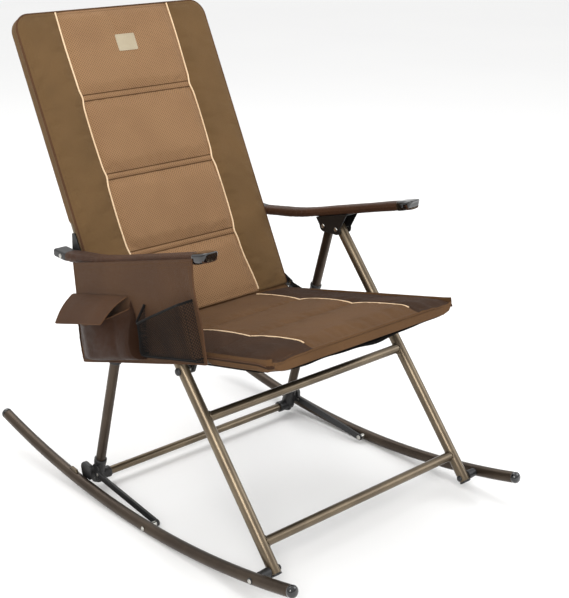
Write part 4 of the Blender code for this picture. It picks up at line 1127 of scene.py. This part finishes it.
def build_sleeve(mark, side, path):
    """The padded cloth sleeve, with folds at its bend and rear, and a sewn line underneath."""
    axes = frames(path, X)
    rows, run = [], 0.0
    for i, (p, (s, u)) in enumerate(zip(path, axes)):
        run += (p - path[i - 1]).length if i else 0.0
        bend = math.exp(-((p.y - SHIFT_Y - 0.150) / 0.055) ** 2)
        rear = math.exp(-((p.y - SHIFT_Y - 0.270) / 0.05) ** 2)
        row = []
        for k, q in enumerate(box_ring(p, s, u, SLEEVE_WIDE, SLEEVE_HIGH, SLEEVE_CORNER, bulge=0.0009)):
            fold = 0.0011 * (bend + 0.7 * rear) * math.sin(run * 330 + 2.5 * math.sin(k * 0.35) + side)
            soft = 0.0010 * ripple(q.x * 0.6, q.y, q.z * 1.5, 26) + 0.0005 * ripple(q.x, q.y, q.z, 70)
            row.append(q + (q - p).normalized() * (fold + soft - 0.0002))
        rows.append(row)
    first, last = rows[0], rows[-1]
    rows = [tuck(first, path[0], 0.80), tuck(first, path[0], 0.97), *rows, tuck(last, path[-1], 0.97),
            tuck(last, path[-1], 0.80)]
    sleeve = skin(f"arm_cover_{mark}", rows, ARM_CLOTH, f"arm_{mark}", wrap=True, angle=0,
                  replaces=(f"arm_sleeve_{mark}",))
    modifier(sleeve, "SUBSURF", levels=1, render_levels=1)
    under = [p - u * math.copysign(0.0099, u.z) for p, (_, u) in zip(path, axes)]
    seam = [q + X * side * 0.012 - Z * 0.0002 for q in under]
    tube(f"arm_seam_{mark}", seam[1:-1], 0.0008, ARM_CLOTH, f"arm_{mark}", sides=8, wall=0)


def build_nose(mark, path):
    """The glossy front cap, with fine ribs across its top."""
    into = (path[0] - path[1]).normalized()
    up = X.cross(into) * -1
    rows = []
    for forward, rise, wide, high, lean in NOSE_RINGS:
        centre = path[0] + into * forward + up * rise
        row = []
        for q in box_ring(centre, X, up, wide, high, high * 0.32, per=5):
            local = q - centre
            top = local.dot(up) / (high / 2)
            ribbed = top > 0.8 and -0.028 < forward < 0.002
            rib = 0.0005 * math.cos(local.x / wide * math.tau * 3.5) if ribbed else 0.0
            row.append(q + into * (lean * top) + up * rib)
        rows.append(row)
    cap = skin(f"arm_nose_{mark}", rows, GLOSS, f"arm_{mark}", wrap=True, caps=True, angle=50,
               replaces=(f"arm_front_cap_{mark}",))
    modifier(cap, "SUBSURF", levels=1, render_levels=1)


def build_tail(mark, side, path):
    """The moulded rear cap, which levels out behind the sleeve, and its rivet."""
    onwards = (path[-1] - path[-2]).normalized()
    tilted = X.cross(onwards)
    start = path[-1] + onwards * 0.0005
    rows = [box_ring(start + onwards * d, X, tilted, w, h, 0.0042, per=6) for d, w, h in
            ((-0.009, 0.0290, 0.0140), (-0.0004, 0.0300, 0.0150), (0.0, 0.0340, 0.0176),
             (0.0008, 0.0348, 0.0184), (0.0080, 0.0348, 0.0184))]
    for back, w, h in ((0.0060, 0.0346, 0.0182), (0.0022, 0.0326, 0.0164), (0.0004, 0.0292, 0.0130),
                       (0.0, 0.0220, 0.0070)):
        centre = at(side * ARM_X, (ARM_END_Y - back, ARM_PATH[2][1]))
        rows.append(box_ring(centre, X, Z, w, h, min(0.0042, h * 0.4), per=6))
    skin(f"arm_tail_{mark}", rows, PLASTIC, f"arm_{mark}", wrap=True, caps=True, angle=50,
         replaces=(f"arm_rear_cap_{mark}",))
    cross_bolt(f"arm_tail_rivet_{mark}", ARM_REAR_PIVOT, side, dome(ARM_X + 0.0172, 0.0052, 0.0016), STEEL,
               f"arm_{mark}")


def build_bracket(mark, side):
    """The U bracket under the arm: two plates, the web that joins them and the pins of both legs."""
    body = f"arm_{mark}"
    outline = [arm_line(-0.010, 0.0003), arm_line(0.092, 0.0003)]
    outline += arc(REAR_PIVOT, 0.013, 0, -90, 10) + arc(ARM_PIVOT, 0.013, -90, -200, 10)
    for place, layer, hidden in (("inner", BRACKET_INNER_LAYER, (f"arm_bracket_{mark}",)),
                                 ("outer", BRACKET_OUTER_LAYER, ())):
        plate(f"arm_bracket_{mark}_{place}", outline, layer, side, BLACK_METAL, body, bevel=0.0007,
              replaces=hidden)
    web = [arm_line(-0.009, 0.0002), arm_line(0.091, 0.0002), arm_line(0.091, 0.0030),
           arm_line(-0.009, 0.0030)]
    plate(f"arm_bracket_{mark}_web", web, (0.2690, 0.3055), side, BLACK_METAL, body)
    profile = dome(0.2677, 0.0052, 0.0024, True) + [(0.2679, 0.0030), (0.3062, 0.0030)]
    profile += dome(0.3065, 0.0046, 0.0010)
    for centre, name in ((ARM_PIVOT, "front"), (REAR_PIVOT, "rear")):
        cross_bolt(f"arm_pin_{name}_{mark}", centre, side, profile, STEEL, body)


def build_arms():
    line = arm_centre()
    for mark, side in SIDES:
        path = [at(side * ARM_X, p) for p in line]
        build_sleeve(mark, side, path)
        build_nose(mark, path)
        build_tail(mark, side, path)
        build_bracket(mark, side)


# ---------------------------------------------------------------- pocket on the near arm

def along(points, t):
    """The point at a share t of a polyline of (y, z)."""
    marks = [0.0]
    for p, q in zip(points, points[1:]):
        marks.append(marks[-1] + (Vector(q) - Vector(p)).length)
    want = min(max(t, 0.0), 1.0) * marks[-1]
    for i, (p, q) in enumerate(zip(points, points[1:])):
        if want <= marks[i + 1] + 1e-9:
            return Vector(p).lerp(Vector(q), (want - marks[i]) / (marks[i + 1] - marks[i]))
    return Vector(points[-1])


def pocket_rows(bottom, top_inner, top_outer, x_outer, up_n, face_n, gusset_n, shape):
    """Rows of a patch pocket from the bottom up. Each runs from the panel round the outside and back to it.
    shape(u, v, depth) gives the (outwards, along, up) moves."""
    rows = []
    for j in range(up_n + 1):
        v = j / up_n
        deep = math.sqrt(max(1 - (1 - min(v / 0.20, 1.0)) ** 2, 0.0))
        ends = [[Vector(low).lerp(Vector(high), v) for high in tops]
                for low, *tops in zip(bottom, top_inner, top_outer)]
        plan = [(0.0, g / gusset_n * deep) for g in range(gusset_n)]
        plan += [(k / face_n, deep) for k in range(face_n + 1)]
        plan += [(1.0, g / gusset_n * deep) for g in range(gusset_n - 1, -1, -1)]
        row = []
        for u, d in plan:
            edge = min(u, 1 - u) / 0.10
            pull = 1.0 if edge >= 1 or d < deep * 0.999 else mix(0.80, 1.0, math.sqrt(1 - (1 - edge) ** 2))
            a = ends[0][0].lerp(ends[0][1], d)
            b = ends[1][0].lerp(ends[1][1], d)
            here = a.lerp(b, u)
            outwards, run, lift = shape(u, v, d)
            x = mix(POCKET_X, x_outer, d * pull) + outwards * d
            row.append(at(-x, (here[0] + run, here[1] + lift)))
        rows.append(row)
    return rows


def edge_tape(name, line, radius, material, body, slot):
    """A bound edge along a line, drawn in at both ends."""
    axes = frames(line, X)
    rows = [ring(p, s, u, radius, 10) for p, (s, u) in zip(line, axes)]
    rows = [tuck(rows[0], line[0], 0.3), *rows, tuck(rows[-1], line[-1], 0.3)]
    return skin(name, rows, material, body, wrap=True, caps=True, angle=0, slot=slot)


PANEL_LOW = ((0.2215, 0.3110), (-0.2130, 0.4360))
PANEL_TOP = ((0.2430, 0.5330), arm_line(0.1550, -0.012), arm_line(-0.1660, -0.012))


def panel_point(u, v, out=0.0):
    """u runs from the rear to the front and v from the bottom up."""
    low = Vector(PANEL_LOW[0]).lerp(Vector(PANEL_LOW[1]), u)
    high = along(PANEL_TOP, u)
    here = low.lerp(high, v)
    free = smooth((u - 0.90) / 0.1) + smooth((0.06 - v) / 0.06) * 0.4
    wave = 0.0007 * math.sin(u * 19 + 1.0) * (1 - v) + 0.0022 * free * math.sin(v * 9 + u * 14)
    bow = -0.004 * math.sin(math.pi * v) * smooth((u - 0.93) / 0.07)
    return at(-(PANEL_X + wave + out), (here[0] - bow, here[1]))


def build_panel():
    """The cloth panel that hangs from the right arm, with its bound edge and stitching."""
    rows = [[panel_point(k / 90, j / 44) for k in range(91)] for j in range(45)]
    panel = skin("pocket_backing", rows, POCKET_CLOTH, "arm_R", angle=0, replaces=("pocket_panel",))
    modifier(panel, "SOLIDIFY", thickness=0.0011, offset=0.0)
    line = [panel_point(0.0, v / 16) for v in range(16, 0, -1)]
    line += [panel_point(k / 70, 0.0) for k in range(71)]
    line += [panel_point(1.0, v / 20) for v in range(1, 21)]
    edge_tape("pocket_edge_tape", line, 0.0016, BINDING, "arm_R", "pocket_fabric")
    rows = [[(panel_point(k / 60, v, 0.0006), -X) for k in range(61)] for v in (0.93, 0.97, 0.035)]
    rows.append([(panel_point(0.975, v / 30, 0.0006), -X) for v in range(1, 29)])
    stitches("pocket_stitching", rows, THREAD, "arm_R")


def build_pouch():
    """The pouch under the flap, slumped and creased, with a taped rim."""
    def slump(u, v, d):
        belly = 0.0022 * math.sin(math.pi * u) * math.sin(math.pi * min(v * 1.2, 1.0))
        soft = 0.0020 * ripple(u * 2.2, v * 1.6, 1.0, 1.9) + 0.0009 * ripple(u * 2, v * 2, 5.0, 6.0)
        crease = -0.0026 * math.exp(-((u - 0.86 + 0.10 * v) / 0.035) ** 2) * smooth(v * 2)
        crease -= 0.0016 * math.exp(-((u - 0.15 - 0.06 * v) / 0.03) ** 2) * smooth(v * 2)
        rear = -0.0350 * (1 - smooth(u / 0.42))
        front = -0.0300 * smooth((u - 0.50) / 0.50) * smooth((v - 0.30) / 0.70)
        along_by = 0.0012 * ripple(u, v * 2, 9.0, 3.0)
        return (belly + soft + crease + (rear + front), along_by, -0.0120 * math.sin(math.pi * u) * v * d)

    rows = pocket_rows(((0.2225, 0.3150), (-0.0150, 0.3880)), ((0.2360, 0.4490), (0.0344, 0.5030)),
                       ((0.2330, 0.4020), (0.0300, 0.4870)), POUCH_OUTER_X, 34, 50, 10, slump)
    pouch = skin("pouch_bag", rows, POUCH_CLOTH, "arm_R", angle=0, replaces=("pouch",))
    modifier(pouch, "SOLIDIFY", thickness=0.0011, offset=0.0)
    modifier(pouch, "SUBSURF", levels=1, render_levels=1)
    edge_tape("pouch_rim_tape", rows[-1][8:-8], 0.0013, BINDING, "arm_R", "pocket_fabric")


def build_net():
    """The mesh pocket: threads along a diagonal grid, with a taped rim and foot."""
    def sag(u, v, d):
        dip = 0.0300 * (1 - u) ** 1.15 * smooth((v - 0.25) / 0.75) * d
        return (0.0018 * ripple(u * 2, v, 2.0, 2.2) - 0.003 * math.sin(math.pi * u) * v, 0.0, -dip)

    rows = pocket_rows(((-0.0210, 0.3945), (-0.2040, 0.4365)), ((-0.0130, 0.5051), (-0.1690, 0.5550)),
                       ((-0.0150, 0.5000), (-0.1640, 0.5520)), NET_OUTER_X, 38, 60, 8, sag)
    knots, index, faces = [], {}, []
    for j, row in enumerate(rows):
        for k, p in enumerate(row):
            if (j + k) % 2 == 0:
                index[j, k] = len(knots)
                knots.append(p)
    for j in range(1, len(rows) - 1):
        for k in range(1, len(rows[0]) - 1):
            if (j + k) % 2:
                faces.append((index[j - 1, k], index[j, k + 1], index[j + 1, k], index[j, k - 1]))
    net = piece("mesh_pocket_net", knots, faces, NET, "arm_R", uvs=[[(0.0, 0.0)] * 4 for _ in faces], angle=0,
                replaces=("mesh_pocket",))
    modifier(net, "WIREFRAME", thickness=0.0014, use_even_offset=False, use_boundary=True)
    edge_tape("mesh_pocket_hem", rows[-1], 0.0026, LINING, "arm_R", "mesh_fabric")
    edge_tape("mesh_pocket_foot", rows[3], 0.0016, LINING, "arm_R", "mesh_fabric")


def build_flap():
    """The pouch's lid, from its hinge line outwards and down."""
    rows = []
    for share in (0.0, 0.04, 0.09, 0.16, 0.25, 0.36, 0.48, 0.60, 0.72, 0.84, 0.93, 1.0):
        arch = math.sin(math.pi * share)
        row = []
        for k in range(49):
            u = k / 48
            y, z = mix(0.2440, 0.0400, u), mix(0.4640, 0.5100, u)
            out = 0.0465 * (share + 0.06 * arch)
            drop = mix(0.0580, 0.0600, u) * (share - 0.10 * arch)
            curl = 0.0010 * math.sin(u * 9.0 + 0.6) * share + 0.0008 * ripple(u * 3, share, 1.0, 2.0)
            row.append(at(-(FLAP_X + out + curl), (y + mix(0.0040, 0.0360, u) * share, z - drop)))
        rows.append(row)
    flap = skin("flap_cloth", rows, FLAP_CLOTH, "flap", angle=0, replaces=("pouch_flap",))
    modifier(flap, "SOLIDIFY", thickness=0.0016, offset=0.0)
    modifier(flap, "SUBSURF", levels=1, render_levels=1)
    line = [row[0] for row in rows[1:]] + rows[-1][1:-1] + [row[-1] for row in rows[:0:-1]]
    edge_tape("flap_edge_tape", line, 0.0015, BINDING, "flap", "pocket_fabric")


def finish_carried_nodes():
    """Bare CAD nodes that stay get the same finish as the pieces round them."""
    for mark, _ in SIDES:
        tube_node = bpy.data.objects[f"arm_tube_{mark}"]
        tube_node.data.materials.clear()
        tube_node.data.materials.append(BRONZE)


# ---------------------------------------------------------------- camera, light and floor

def area_light(name, place, target, size, power, tint=(1.0, 1.0, 1.0)):
    light = bpy.data.lights.new(name, "AREA")
    light.shape, light.size, light.size_y = "RECTANGLE", size[0], size[1]
    light.energy, light.color = power, tint
    obj = bpy.data.objects.new(name, light)
    bpy.context.scene.collection.objects.link(obj)
    obj.location = place
    obj.rotation_euler = (Vector(target) - Vector(place)).to_track_quat("-Z", "Y").to_euler()


def build_stage():
    """The camera, the sky, the lights and the floor."""
    scene = bpy.context.scene
    lens = bpy.data.cameras.new("camera")
    lens.lens, lens.sensor_width = 73.92, 36.0
    lens.shift_x, lens.shift_y = 0.0091, -0.0006
    camera = bpy.data.objects.new("camera", lens)
    scene.collection.objects.link(camera)
    camera.location = (-1.6745, -1.9472, 1.3367)
    camera.rotation_euler = (math.radians(90 - 19.386), 0, math.radians(-42.26))
    scene.camera = camera
    world = bpy.data.worlds.new("studio")
    scene.world = world
    world.use_nodes = True
    sky = world.node_tree
    up = add(sky, "SeparateXYZ", {0: add(sky, "TexCoord").outputs["Generated"]}).outputs[2]
    glow = add(sky, "MapRange", {0: up, 1: 0.0, 2: 1.0, 3: 0.62, 4: 1.15}, clamp=True).outputs[0]
    sky.links.new(glow, sky.nodes["Background"].inputs[1])
    sky.nodes["Background"].inputs[0].default_value = (1.0, 1.0, 1.0, 1.0)
    scene.view_settings.view_transform = "Standard"
    area_light("key", (-3.3, -3.2, 3.1), (0, 0, 0.5), (2.0, 2.0), 130.0, (1.0, 0.98, 0.95))
    area_light("fill", (2.8, -2.4, 1.9), (0, 0, 0.5), (2.2, 2.2), 38.0, (0.96, 0.98, 1.0))
    area_light("top", (0.2, 1.6, 3.4), (0, 0, 0.6), (2.4, 2.4), 50.0)
    mesh = bpy.data.meshes.new("floor")
    reach = 40.0
    mesh.from_pydata([(-reach, -reach, 0), (reach, -reach, 0), (reach, reach, 0), (-reach, reach, 0)], [],
                     [(0, 1, 2, 3)])
    floor = bpy.data.objects.new("floor", mesh)
    scene.collection.objects.link(floor)
    made, tree, shader = new_material("pale_floor", Roughness=0.9)
    place = add(tree, "TexCoord").outputs["Object"]
    cloud = add(tree, "TexNoise", {"Vector": place, "Scale": 0.7, "Detail": 2.0}).outputs[0]
    tree.links.new(blend_colours(tree, cloud, (0.90, 0.90, 0.90, 1), (0.93, 0.93, 0.925, 1)),
                   shader.inputs["Base Color"])
    mesh.materials.append(made)


build_frame()
build_rockers()
build_rear_frame()
build_pad_frames()
build_back_cover()
build_seat_cover()
build_crease()
build_arms()
build_panel()
build_pouch()
build_net()
build_flap()
finish_carried_nodes()
build_stage()
